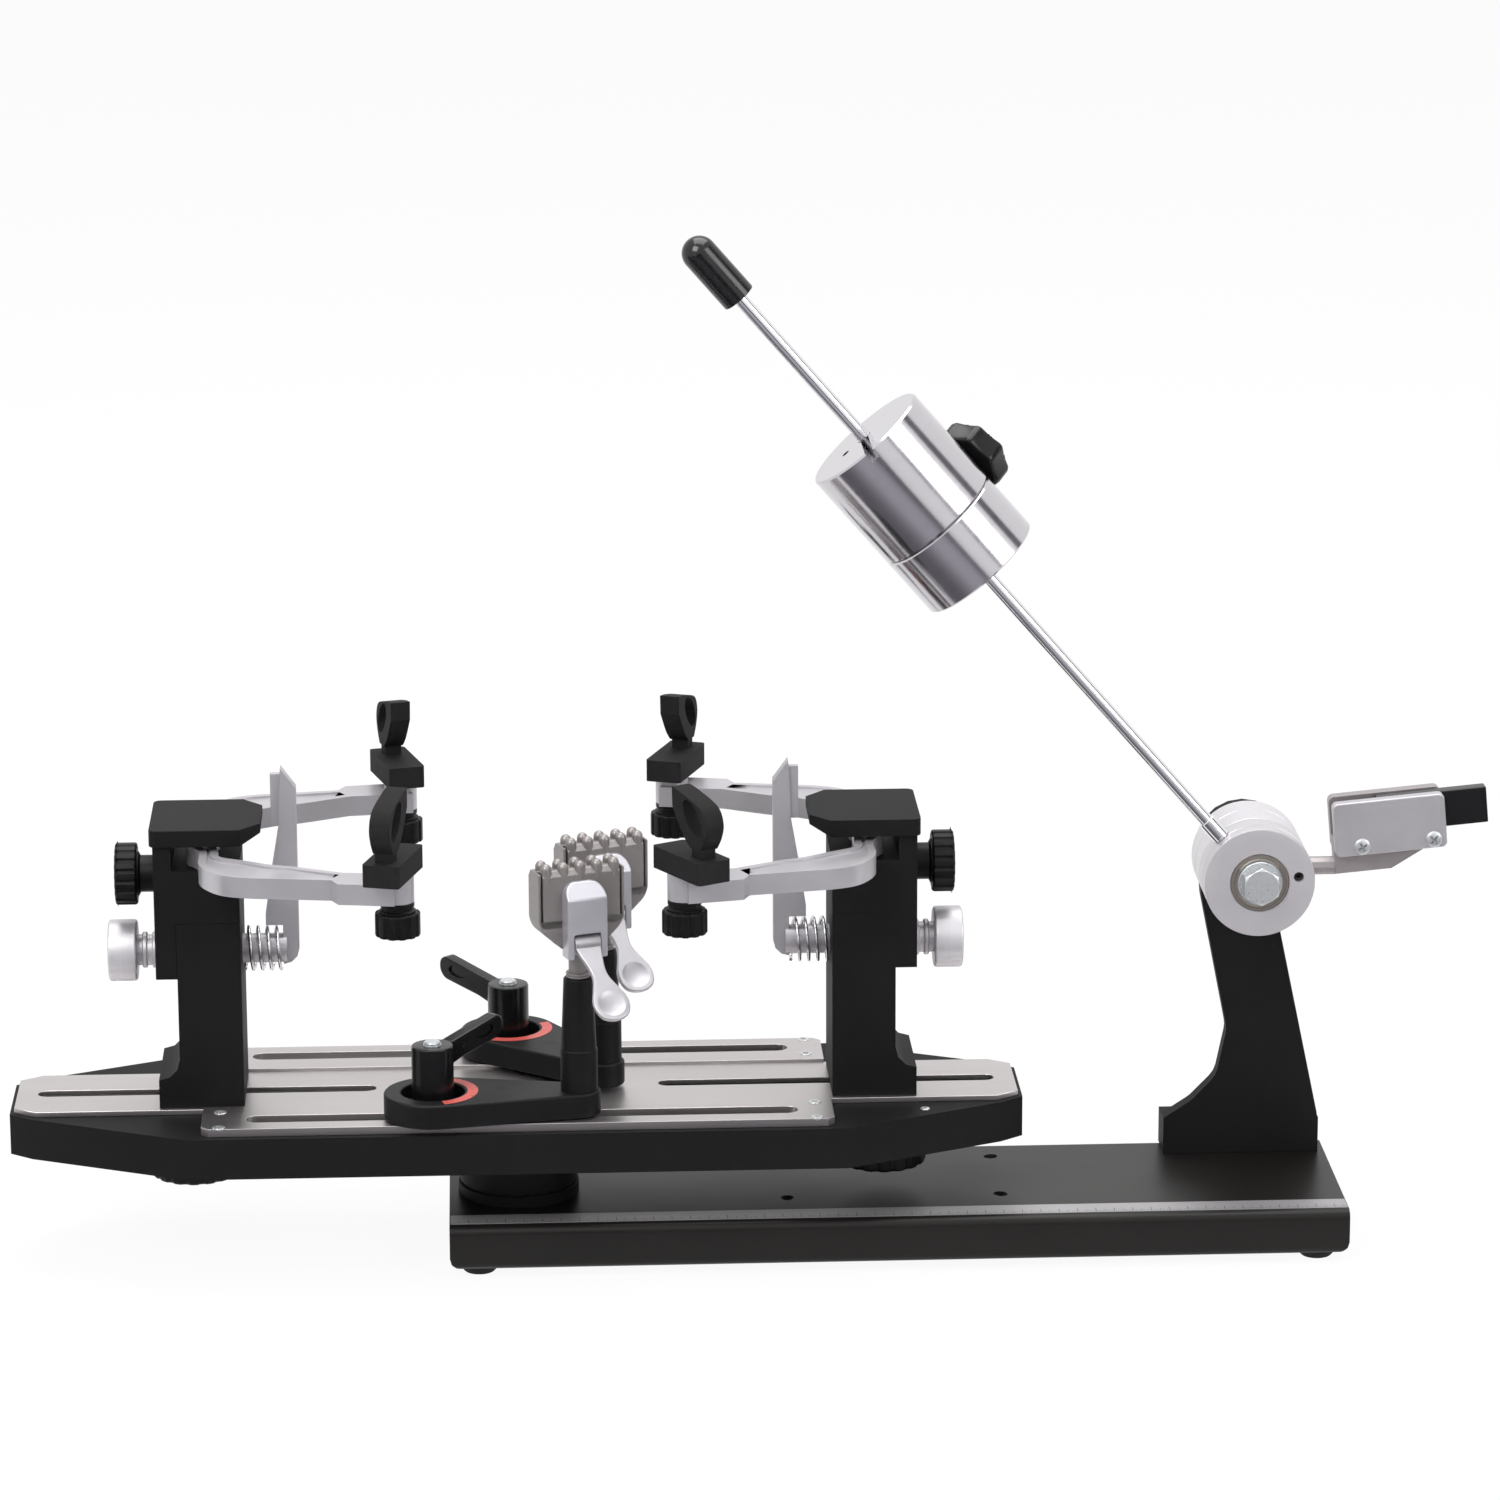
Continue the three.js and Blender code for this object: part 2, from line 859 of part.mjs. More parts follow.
// The upper weight has a slot from the bore to the front rim and a small screw hole in its top face.
function mainWeight() {
  const slotFloor = weightEnd - weightSlotDepth;
  const slot = block(
    -weightSlotWidth / 2,
    weightSlotWidth / 2,
    -weightRadius - overrun,
    0,
    slotFloor,
    weightEnd + overrun,
  );
  const screwHole = circle(
    weightScrewHoleRadius,
    -weightRadius * weightScrewHoleShare,
    0,
    smallRoundSteps,
  );
  const stud = circle(starKnobStudRadius + fit, 0, starKnobAlong, smallRoundSteps);
  const studHole = lengthways(stud, weightRadius - starKnobStudDepth, weightRadius + overrun);
  return cut(
    weight(weightSeam, weightEnd),
    slot,
    upright(screwHole, slotFloor, weightEnd + overrun),
    studHole.rotate([0, 0, starKnobTilt]),
  ).translate([0, armPlaneY, 0]);
}

// The star knob's axis runs along X here; its group turns it to the back.
function starKnob() {
  const start = weightRadius + starKnobGap;
  const stud = circle(starKnobStudRadius, 0, 0, smallRoundSteps);
  return join(
    lengthways(
      fluted(starKnobRadius, starKnobNotch, starKnobLobes),
      start,
      start + starKnobHeight,
      starKnobBevel,
    ),
    lengthways(stud, weightRadius - starKnobStudDepth + fit, start + starKnobBevel),
    lengthways(circle(2 * starKnobStudRadius), weightRadius + fit, start + starKnobBevel),
  );
}

function tensionDrum() {
  const front = discFront + discThickness + fit;
  const seat = circle(stemRadius + fit, 0, 0, smallRoundSteps);
  return cut(
    turnedY(grooved(front, drumBack, drumGrooveShare)),
    lengthways(seat, drumRadius - stemSeatDepth, drumRadius + overrun),
  );
}

// The gripper is drawn level with its inner lower corner at the origin, then turned and set out.
function gripperPlaced(shape) {
  return shape.rotate([0, -gripperTurn, 0]).translate([plateInset, 0, plateRise]);
}

function gripperScrews(radius, from, to) {
  return screwInsetShares.map((share) => {
    const points = circle(radius, share * plateLength, screwRiseShare * plateHeight, smallRoundSteps);
    return sideways(points, from, to);
  });
}

const plateBack = plateFront + plateThickness;
const rearPlateFront = plateBack + jawGap;
const rearPlateBack = rearPlateFront + rearPlateThickness;

// Rear plate, floor with its keel, and the stem that screws into the drum.
function gripperBody() {
  const plate = rectangle(0, 0, plateLength, plateHeight, plateCornerRadius);
  const floor = [...scaled(gripperKeelShares, plateLength, gripperKeel), new THREE.Vector2(0, gripperFloor)];
  const stem = circle(stemRadius, 0, 0, smallRoundSteps);
  const shell = cut(
    join(
      sideways(plate, rearPlateFront, rearPlateBack),
      sideways(floor, plateBack + fit, rearPlateFront + overrun),
    ),
    ...gripperScrews(screwRadius + fit, plateBack, rearPlateFront),
  );
  return join(
    gripperPlaced(shell),
    lengthways(stem, drumRadius - stemSeatDepth + fit, stemEnd + overrun),
  );
}

// The front plate carries its two screws.
function gripperFrontPlate() {
  const plate = rectangle(0, 0, plateLength, plateHeight, plateCornerRadius);
  return gripperPlaced(
    join(
      sideways(plate, plateFront, plateBack, edgeChamfer),
      ...gripperScrews(screwHeadRadius, plateFront - screwHeadHeight, plateFront + edgeChamfer),
      ...gripperScrews(screwRadius, plateFront, rearPlateFront - fit),
    ),
  );
}

function gripperJaw() {
  const end = plateLength + jawProud;
  const bottom = gripperFloor + fit;
  const points = rectangle(end - jawLength, bottom, end, bottom + jawHeight, edgeChamfer);
  return gripperPlaced(sideways(points, plateBack + fit, rearPlateFront - fit));
}

// Turntable

function castingOutline() {
  const [along, across] = castingTipChamfer;
  const quarter = [
    [castingHalfLength, castingTipHalfWidth - across],
    [castingHalfLength - along, castingTipHalfWidth],
    [castingShoulder, castingHalfWidth],
  ];
  return fourfold(quarter);
}

// Repeats the points of the first quarter in the other three.
function fourfold(quarter) {
  const signs = [[1, 1], [-1, 1], [-1, -1], [1, -1]];
  return signs.flatMap(([sx, sy], i) => {
    const points = quarter.map(([x, y]) => new THREE.Vector2(sx * x, sy * y));
    return i % 2 ? points.reverse() : points;
  });
}

function eachSide(make) {
  return [-1, 1].map(make);
}

// Along the slots of the tower knobs, on both sides of the boss.
function slotsAlong(start, end, width, from, to) {
  return eachSide((side) => {
    const ends = [side * start, side * end].sort((a, b) => a - b);
    return upright(slotOutline(ends[0] + width / 2, ends[1] - width / 2, 0, width), from, to);
  });
}

function spineSlots() {
  return slotsAlong(
    slotStart - spineSlotMargin,
    slotEnd + spineSlotMargin,
    spineSlotWidth,
    castingBottom - overrun,
    castingTop + overrun,
  );
}

// A tray that is open below, with a window over each side slot's channel and a spine from end to end.
function turntableFrame() {
  const roof = castingTop - castingSkin;
  const channels = eachSide((side) => {
    const points = rectangle(
      sideSlotStart - (channelWidth - sideSlotWidth) / 2,
      side * sideSlotY - channelWidth / 2,
      sideSlotEnd + (channelWidth - sideSlotWidth) / 2,
      side * sideSlotY + channelWidth / 2,
    );
    return upright(points, roof - overrun, castingTop + overrun);
  });
  const tray = cut(
    upright(castingOutline(), castingBottom, castingTop),
    upright(inset(castingOutline(), castingWall), castingBottom - overrun, roof),
    ...channels,
  );
  const spineEnd = castingHalfLength - castingWall / 2;
  const spine = rectangle(-spineEnd, -spineWidth / 2, spineEnd, spineWidth / 2);
  const webBottom = spindleTop + fit;
  return cut(
    join(tray, upright(spine, castingBottom, castingTop)),
    ...spineSlots(),
    upright(circle(spindleRadius + fit), castingBottom - overrun, webBottom),
    upright(circle(spindleThreadRadius + fit), castingBottom, castingTop),
    upright(circle(nutRoomRadius), webBottom + hubWeb, castingTop + overrun),
  );
}

function centerRail() {
  const [along, across] = railTipChamfer;
  const quarter = [
    [railHalfLength, railHalfWidth - across],
    [railHalfLength - along, railHalfWidth],
  ];
  return cut(
    upright(fourfold(quarter), castingTop, railTop),
    ...slotsAlong(slotStart, slotEnd, slotWidth, castingTop - overrun, railTop + overrun),
  );
}

function deckPlate() {
  const inner = railHalfWidth + fit;
  const points = outline([
    [-deckHalfLength, inner],
    [deckHalfLength, inner],
    [deckHalfLength, deckEdge - deckCornerCut],
    [deckHalfLength - deckCornerCut, deckEdge],
    [-deckHalfLength + deckCornerCut, deckEdge],
    [-deckHalfLength, deckEdge - deckCornerCut],
  ]);
  const slot = slotOutline(
    sideSlotStart + sideSlotWidth / 2,
    sideSlotEnd - sideSlotWidth / 2,
    sideSlotY,
    sideSlotWidth,
  );
  return cut(
    upright(points, castingTop, deckTop),
    upright(slot, castingTop - overrun, deckTop + overrun),
  );
}

const railTop = castingTop + railThickness;
const deckTop = castingTop + deckThickness;

// Towers

const footOuter = -columnWidth - footSide;
const lockU = footOuter / 2 - lockFromFootMiddle;

function towerColumn() {
  const points = outline([
    [0, railTop],
    [0, columnTop],
    [-columnWidth, columnTop],
    [-columnWidth, columnFootTop, columnFilletRadius],
    [footOuter, columnFootTop],
    [footOuter, railTop],
  ]);
  const studTop = railTop + lockStudDepth;
  return cut(
    sideways(points, -towerHalfDepth, towerHalfDepth),
    lengthways(circle(shaftRadius + fit, 0, holderZ), -columnBoreDepth, overrun),
    lengthways(circle(screwShankRadius + fit, 0, holderZ, smallRoundSteps), -columnWidth - overrun, 0),
    upright(circle(lockStudRadius + fit, lockU, 0, smallRoundSteps), railTop - overrun, studTop),
  );
}

function topPlate() {
  const back = footOuter - topPlateBack;
  const points = outline([
    [back, -topPlateHalfDepth, topPlateCorner],
    [topPlateFront, -topPlateHalfDepth],
    [topPlateFront + noseLength, -noseHalfWidth],
    [topPlateFront + noseLength, noseHalfWidth],
    [topPlateFront, topPlateHalfDepth],
    [back, topPlateHalfDepth, topPlateCorner],
  ]);
  const undercut = new THREE.Shape([
    new THREE.Vector2(topPlateFront + noseLength + overrun, armSlotTop - overrun),
    new THREE.Vector2(topPlateFront + noseLength + overrun, armSlotTop + noseUndercut),
    new THREE.Vector2(topPlateFront + noseLength, armSlotTop + noseUndercut),
    new THREE.Vector2(topPlateFront, armSlotTop),
    new THREE.Vector2(topPlateFront, armSlotTop - overrun),
  ]).getPoints();
  return cut(
    upright(points, armSlotTop, topPlateTop),
    sideways(undercut, -topPlateHalfDepth, topPlateHalfDepth),
  );
}

// The head sits on the column, reaches down its outer side and holds the arms' pins under the top plate.
function towerHead() {
  const shell = outline([
    [0, columnTop],
    [0, armSlotBottom],
    [footOuter + headWall, armSlotBottom],
    [footOuter + headWall, armSlotTop + overrun],
    [footOuter, armSlotTop + overrun],
    [footOuter, headLegBottom],
    [-columnWidth, headLegBottom],
    [-columnWidth, columnTop],
  ]);
  const pins = eachSide((side) => {
    return upright(
      circle(armPinRadius, -armPinInset, side * armPinSpread, smallRoundSteps),
      armSlotBottom - overrun,
      armSlotTop + overrun,
    );
  });
  const shank = screwShankRadius + fit;
  const screwEnd = footOuter + adjusterScrewDepth;
  return cut(
    join(sideways(shell, -towerHalfDepth, towerHalfDepth), topPlate(), ...pins),
    lengthways(circle(shank, 0, adjusterZ, smallRoundSteps), footOuter - overrun, screwEnd),
    lengthways(circle(shank, 0, holderZ, smallRoundSteps), footOuter - overrun, -columnWidth + overrun),
  );
}

// The lock knob hangs below the casting's spine, with its stud up through both slots.
function lockKnob() {
  const top = castingBottom - fit;
  return join(
    upright(fluted(lockKnobRadius, fluteDepth, lockKnobFlutes), top - lockKnobHeight, top, knobChamfer),
    upright(circle(lockStudRadius, 0, 0, smallRoundSteps), top - overrun, railTop + lockStudDepth - fit),
  );
}

function adjusterKnob() {
  const neck = footOuter - fit - adjusterNeckLength;
  return join(
    lengthways(
      fluted(adjusterRadius, fluteDepth, adjusterFlutes),
      neck - adjusterLength,
      neck,
      knobChamfer,
    ),
    lengthways(circle(adjusterNeckRadius), neck - overrun, footOuter - fit),
    lengthways(
      circle(screwShankRadius, 0, 0, smallRoundSteps),
      neck - overrun,
      footOuter + adjusterScrewDepth - fit,
    ),
  );
}

// Bright knob with a banded sleeve and the threaded rod that draws the blade's shaft.
function holderKnob() {
  const face = footOuter - fit;
  const sleeveStart = face - holderSleeveLength;
  const end = sleeveStart - holderKnobLength;
  const profile = [
    [0, end],
    [holderKnobRadius - knobChamfer, end],
    [holderKnobRadius, end + knobChamfer],
    [holderKnobRadius, sleeveStart - knobChamfer],
    [holderKnobRadius - knobChamfer, sleeveStart],
  ];
  const band = holderSleeveLength / (2 * holderBands);
  for (let i = 0; i < holderBands; i++) {
    const start = sleeveStart + 2 * i * band;
    profile.push([holderSleeveRadius - holderBandDepth, start]);
    profile.push([holderSleeveRadius - holderBandDepth, start + band]);
    profile.push([holderSleeveRadius, start + band]);
    profile.push([holderSleeveRadius, start + 2 * band]);
  }
  profile.push([screwShankRadius, face]);
  profile.push([screwShankRadius, -holderRodEnd]);
  profile.push([0, -holderRodEnd]);
  return turnedX(profile, holderKnobSteps);
}

// A flat blade with a slanted tip on a rounded foot, and the shaft that slides in the column.
function holderBlade() {
  const half = bladeThickness / 2;
  const back = scaled(bladeBackShares, bladeInner, bladeTipTop - bladeNotchZ, 0, bladeNotchZ);
  const points = outline([
    [bladeFootBack, bladeFootBottom],
    [bladeInner, bladeFootBottom, bladeFootRadius],
    [bladeInner, bladeTipShoulder],
    ...back.reverse().map((p) => [p.x, p.y]),
    [bladeFootBack, bladeNotchZ],
  ]);
  const ribInner = bladeInner * bladeBackShares[3][0] + overrun;
  const shaft = circle(shaftRadius, 0, holderZ);
  const bore = circle(screwShankRadius + fit, 0, holderZ, smallRoundSteps);
  return cut(
    join(
      sideways(points, -half, half),
      block(
        ribInner - overrun - bladeRibWidth,
        ribInner,
        -bladeRibThickness / 2,
        bladeRibThickness / 2,
        bladeRibBottom,
        bladeRibTop,
      ),
      lengthways(shaft, -shaftEnd, bladeFootBack + overrun),
    ),
    lengthways(bore, -shaftEnd - overrun, shaftBoreEnd),
  );
}

// Points along the spring's wire: straight ends with the coils between them.
function springPath() {
  const start = wireRadius + fit;
  const end = bladeFootBack - wireRadius - fit;
  const steps = springCoils * stepsPerCoil;
  const points = [];
  for (let i = 0; i <= steps; i++) {
    const angle = (2 * Math.PI * i) / stepsPerCoil;
    const x = start + ((end - start) * i) / steps;
    points.push(new THREE.Vector3(x, springRadius * Math.cos(angle), springRadius * Math.sin(angle)));
  }
  const first = points[0].clone().setZ(-2 * wireRadius);
  const last = points.at(-1).clone().setZ(2 * wireRadius);
  return [first, ...points, last];
}

// Least distance between the surfaces of coils that are not neighbours along the wire.
function springSelfGap(path) {
  let least = Infinity;
  path.forEach((a, i) => {
    path.slice(i + stepsPerCoil / 2).forEach((b) => {
      least = Math.min(least, a.distanceTo(b) - 2 * wireRadius);
    });
  });
  return least;
}

// One unbroken tube round the path, with a ring of points at each step.
function spring() {
  const path = springPath();
  const positions = [];
  const axis = new THREE.Vector3(1, 0, 0);
  path.forEach((centre, i) => {
    const before = path[Math.max(i - 1, 0)];
    const after = path[Math.min(i + 1, path.length - 1)];
    const along = after.clone().sub(before).normalize();
    const side = axis.clone().cross(along).normalize();
    const lift = along.clone().cross(side);
    for (let k = 0; k < wireSides; k++) {
      const angle = (2 * Math.PI * k) / wireSides;
      const point = centre.clone();
      point.addScaledVector(side, wireRadius * Math.cos(angle));
      point.addScaledVector(lift, wireRadius * Math.sin(angle));
      positions.push(...point.toArray());
    }
  });
  const index = [];
  for (let i = 0; i < path.length - 1; i++) {
    for (let k = 0; k < wireSides; k++) {
      const a = i * wireSides + k;
      const b = i * wireSides + ((k + 1) % wireSides);
      index.push(a, b, b + wireSides, a, b + wireSides, a + wireSides);
    }
  }
  const tail = (path.length - 1) * wireSides;
  for (let k = 1; k < wireSides - 1; k++) {
    index.push(0, k + 1, k);
    index.push(tail, tail + k, tail + k + 1);
  }
  const geometry = new THREE.BufferGeometry();
  geometry.setAttribute("position", new THREE.Float32BufferAttribute(positions, 3));
  geometry.setIndex(index);
  return solid(geometry);
}

// The arm's plan, for the side with v positive.
function armPlan() {
  const outer = curve(scaled(armOuterShares, armReach, armSpread), armCurveSteps);
  const tip = scaled(armTipShares, armReach, armSpread);
  const inner = curve(scaled(armInnerShares, armReach, armSpread), armCurveSteps);
  return [...outer, ...tip, ...inner];
}

// A side arm about its pin, with a round seat for its support, the knob's hole and a groove along the top.
function sideArm(side) {
  const plan = armPlan();
  const bottom = armSlotBottom + fit;
  const root = circle(armRootRadius, -armPinInset, armPinSpread, smallRoundSteps);
  const groove = upright(inset(plan, armGrooveInset), armTop - armGrooveDepth, armTop + overrun).intersect(
    block(
      -armReach * armTipStartShare / 2,
      armReach * armGrooveEndShare,
      towerHalfDepth + overrun,
      armSpread,
      armTop - armGrooveDepth,
      armTop + overrun,
    ),
  );
  const [placeU, placeV] = supportPlace();
  const seat = circle(armSeatRadius, placeU, placeV, smallRoundSteps);
  const arm = cut(
    join(upright(plan, bottom, armTop), upright(root, bottom, armTop), upright(seat, bottom, armTipTop)),
    groove,
    upright(
      circle(armPinRadius + fit, -armPinInset, armPinSpread, smallRoundSteps),
      bottom - overrun,
      armTipTop,
    ),
    upright(
      circle(supportScrewRadius + fit, placeU, placeV, smallRoundSteps),
      bottom - overrun,
      armTipTop + overrun,
    ),
  ).translate([armPinInset, -armPinSpread, 0]);
  return side > 0 ? arm : arm.mirror([0, 1, 0]);
}

function supportPlace() {
  return [armReach * supportPlaceShares[0], armSpread * supportPlaceShares[1]];
}

// Block, neck and leaning loop in one moulding; X is r here.
function support() {
  const bottom = armTipTop + fit;
  const top = bottom + blockHeight;
  const neckTop = top + neckHeight;
  const neckOuter = -blockOut + neckFromEnd - neckSize / 2;
  const blockSolid = upright(
    rectangle(-blockOut, -blockWidth / 2, blockIn, blockWidth / 2),
    bottom,
    top,
    edgeChamfer,
  );
  const neckHalf = neckSize / 2;
  const neckEnds = [top - overrun, neckTop + overrun];
  const neck = block(neckOuter, neckOuter + neckSize, -neckHalf, neckHalf, ...neckEnds);
  const loopOuter = curve(scaled(loopOuterShares, loopSize, loopSize, neckOuter, neckTop), loopCurveSteps);
  const loopInner = curve(scaled(loopInnerShares, loopSize, loopSize, neckOuter, neckTop), loopCurveSteps / 2);
  const centre = new THREE.Vector2(
    neckOuter + loopHoleShares[0] * loopSize,
    neckTop + loopHoleShares[1] * loopSize,
  );
  const hole = circle(loopHoleLength / 2, 0, 0, smallRoundSteps).map((p) => {
    p.y *= loopHoleWidth / loopHoleLength;
    return p.rotateAround(new THREE.Vector2(), Math.PI / 4).add(centre);
  });
  const loop = cut(
    sideways([...loopOuter, ...loopInner], -loopThickness / 2, loopThickness / 2, edgeChamfer),
    sideways(hole, -loopThickness, loopThickness),
  );
  const screw = upright(
    circle(supportScrewRadius + fit, 0, 0, smallRoundSteps),
    bottom - overrun,
    bottom + supportScrewDepth,
  );
  return cut(join(blockSolid, neck, loop), screw);
}

function supportKnob() {
  const collarTop = armSlotBottom;
  const knobTop = collarTop - supportCollarHeight;
  return join(
    upright(
      fluted(supportKnobRadius, fluteDepth, supportKnobFlutes),
      knobTop - supportKnobHeight,
      knobTop,
      knobChamfer,
    ),
    upright(circle(supportCollarRadius, 0, 0, smallRoundSteps), knobTop - overrun, collarTop),
    upright(
      circle(supportScrewRadius, 0, 0, smallRoundSteps),
      knobTop,
      armTipTop + supportScrewDepth,
    ),
  );
}

// Clamps

const clampBottom = deckTop + fit;
const clampTop = clampBottom + clampBaseHeight;
const recessFloor = clampBottom + clampFloor;
const washerBottom = recessFloor + fit;
const washerTop = washerBottom + studWasherThickness;

// Two circles joined by their common tangents.
function teardrop(bigRadius, smallRadius, reach) {
  const tangent = Math.acos((bigRadius - smallRadius) / reach);
  const points = [];
  const arcs = [
    [0, bigRadius, tangent, 2 * Math.PI - tangent],
    [reach, smallRadius, -tangent, tangent],
  ];
  for (const [x, radius, from, to] of arcs) {
    const steps = Math.ceil((to - from) / arcStep) * 2;
    for (let i = 0; i <= steps; i++) {
      const angle = from + ((to - from) * i) / steps;
      points.push(new THREE.Vector2(x + radius * Math.cos(angle), radius * Math.sin(angle)));
    }
  }
  return points;
}

function clampBase() {
  const post = turned([
    [0, clampBottom + clampBevel],
    [postRadius, clampBottom + clampBevel],
    [postRadius, postCollarZ],
    [postTaperRadii[0], postCollarZ],
    [postTaperRadii[1], postTop],
    [0, postTop],
  ]).translate([clampReach, 0, 0]);
  return cut(
    join(
      upright(teardrop(clampHubRadius, clampPostEndRadius, clampReach), clampBottom, clampTop, clampBevel),
      post,
    ),
    upright(circle(clampRecessRadius), recessFloor, clampTop + overrun),
    upright(circle(studRadius + fit, 0, 0, smallRoundSteps), clampBottom - overrun, recessFloor + overrun),
    upright(
      circle(studRadius + fit, clampReach, 0, smallRoundSteps),
      postTop - stemBoreDepth,
      postTop + overrun,
    ),
  );
}

// T-shaped bolt that slides in the side slot, with its washer on the base and its cap on the lever.
function clampBolt() {
  const headTop = castingTop - fit;
  const capBottom = leverTop + fit;
  const half = tHeadSize / 2;
  return join(
    block(-half, half, -half, half, headTop - tHeadHeight, headTop),
    upright(circle(studRadius, 0, 0, smallRoundSteps), headTop - overrun, capBottom + studCapHeight),
    upright(circle(studWasherRadius), washerBottom, washerTop),
    upright(circle(studCapRadius, 0, 0, smallRoundSteps), capBottom, capBottom + studCapHeight),
  );
}

function baseLever() {
  const top = leverTop;
  const half = leverThickness / 2;
  const arm = outline([
    [0, top - leverHeight],
    [leverHubRadius, top - leverHeight],
    [leverLength, top - leverHeight + leverRise, leverHeight / 3],
    [leverLength, top + leverRise, leverHeight / 3],
    [leverHubRadius, top],
    [0, top],
  ]);
  const panelZ = top + leverRise - leverHeight / 2 - overrun / 2;
  const panel = circle(leverPanelLength / 2, 0, 0, smallRoundSteps).map((p) => {
    p.y *= leverPanelHeight / leverPanelLength;
    return p.add(new THREE.Vector2(leverLength - leverPanelLength, panelZ));
  });
  return cut(
    join(
      turned(drumProfile(leverHubRadius, washerTop + fit, leverTop, edgeChamfer, 0)),
      sideways(arm, -half, half, edgeChamfer),
    ),
    sideways(panel, -half - overrun, -half + leverPanelDepth),
    sideways(panel, half - leverPanelDepth, half + overrun),
    upright(circle(studRadius + fit, 0, 0, smallRoundSteps), washerTop, leverTop + overrun),
  );
}

// A row of five teeth, cone-topped, on a jaw whose middle is at y.
function teeth(y) {
  return Array.from({ length: toothCount }, (_, i) => {
    const x = (i - (toothCount - 1) / 2) * toothPitch;
    return turned([
      [0, jawTop - overrun],
      [toothRadius, jawTop - overrun],
      [toothRadius, jawTop + toothHeight / 2],
      [toothRadius / 2, jawTop + toothHeight],
      [0, jawTop + toothHeight],
    ], toothSides).translate([x, y, 0]);
  });
}

// Silver yoke in front of the jaws, with its window and the spoon's pin.
function yoke() {
  const front = outline([
    [-yokeHalfWidth, yokeBottom],
    [yokeHalfWidth, yokeBottom],
    [yokeHalfWidth, yokeTop, yokeCornerRadius],
    [-yokeHalfWidth, yokeTop, yokeCornerRadius],
  ]);
  const slope = lengthways(
    [
      new THREE.Vector2(yokeFront - overrun, yokeTop - yokeSlope - overrun),
      new THREE.Vector2(yokeFront + yokeSlope + overrun, yokeTop + overrun),
      new THREE.Vector2(yokeFront - overrun, yokeTop + overrun),
    ],
    -2 * yokeHalfWidth,
    2 * yokeHalfWidth,
  );
  const window = block(
    -windowHalfWidth,
    windowHalfWidth,
    yokeFront - overrun,
    headFront - fit,
    yokeBottom - overrun,
    windowTop,
  );
  const pinEnd = windowHalfWidth + overrun;
  const pin = lengthways(circle(pinRadius, pinY, pinZ, smallRoundSteps), -pinEnd, pinEnd);
  return join(cut(sideways(front, yokeFront, headFront + yokeRoot), slope, window), pin);
}

// Rear jaw with its frame round the moving jaw, the funnel below it, the stem and the yoke.
function clampHead() {
  const front = outline([
    [-headNeckHalfWidth, headNeckZ],
    [headNeckHalfWidth, headNeckZ],
    [headHalfWidth, headShoulder],
    [headHalfWidth, jawTop],
    [-headHalfWidth, jawTop],
    [-headHalfWidth, headShoulder],
  ]);
  const pocket = block(
    -pocketHalfWidth,
    pocketHalfWidth,
    headFront - fit,
    0,
    jawFloor,
    jawTop + overrun,
  );
  const stemBottom = postTop - stemBoreDepth + fit;
  const stem = turned([
    [0, stemBottom],
    [studRadius, stemBottom],
    [studRadius, postTop + fit],
    [headRingRadius, postTop + fit],
    [headRingRadius, postTop + headRingHeight],
    [studRadius, postTop + headRingHeight],
    [studRadius, headStemTop],
    [0, headStemTop],
  ]);
  return join(
    cut(join(sideways(front, headFront, headBack), yoke()), pocket),
    ...teeth(headBack / 2),
    stem,
  );
}

function frontJaw() {
  const half = pocketHalfWidth - fit;
  return join(
    block(-half, half, headFront, -stringGap, jawFloor + fit, jawTop),
    ...teeth((headFront - stringGap) / 2),
  );
}

// A hub on the pin, a tapering neck and a round paddle, drawn straight forwards and then let down.
function spoonLever() {
  const hubHalf = windowHalfWidth - fit;
  const neck = outline([
    [-hubHalf, 0],
    [hubHalf, 0],
    [spoonNeckHalfWidth, -spoonReach * spoonNeckShare, spoonNeckHalfWidth],
    [spoonNeckHalfWidth, -spoonReach],
    [-spoonNeckHalfWidth, -spoonReach],
    [-spoonNeckHalfWidth, -spoonReach * spoonNeckShare, spoonNeckHalfWidth],
  ]);
  const half = spoonThickness / 2;
  const paddle = upright(circle(spoonPaddleRadius, 0, -spoonReach), -half, half, edgeChamfer);
  const blade = join(upright(neck, -half, half), paddle).rotate([0, 0, spoonLean]);
  return cut(
    join(blade, lengthways(circle(spoonHubRadius, 0, 0, smallRoundSteps), -hubHalf, hubHalf)),
    lengthways(circle(pinRadius + fit, 0, 0, smallRoundSteps), -hubHalf - overrun, hubHalf + overrun),
  ).rotate([spoonDrop, 0, 0]);
}

// Assembly

function baseParts() {
  const feet = ["front_left", "front_right", "rear_left", "rear_right"].map((corner) => {
    const made = mesh("foot_" + corner, foot(), blackRubber);
    made.position.x = corner.endsWith("left") ? baseLeft + footFromEnd : baseRight - footFromEnd;
    made.position.y = corner.startsWith("front") ? -footFromMiddle : footFromMiddle;
    return made;
  });
  const bolt = mesh("axle_bolt", axleBolt(), chrome);
  bolt.position.set(axleX, 0, axleZ);
  return [
    mesh("base_channel", baseChannel(), blackPaint),
    ...feet,
    mesh("tension_post", tensionPost(), blackPaint),
    bolt,
    mesh("pivot_hub", pivotHub(), blackPaint),
  ];
}

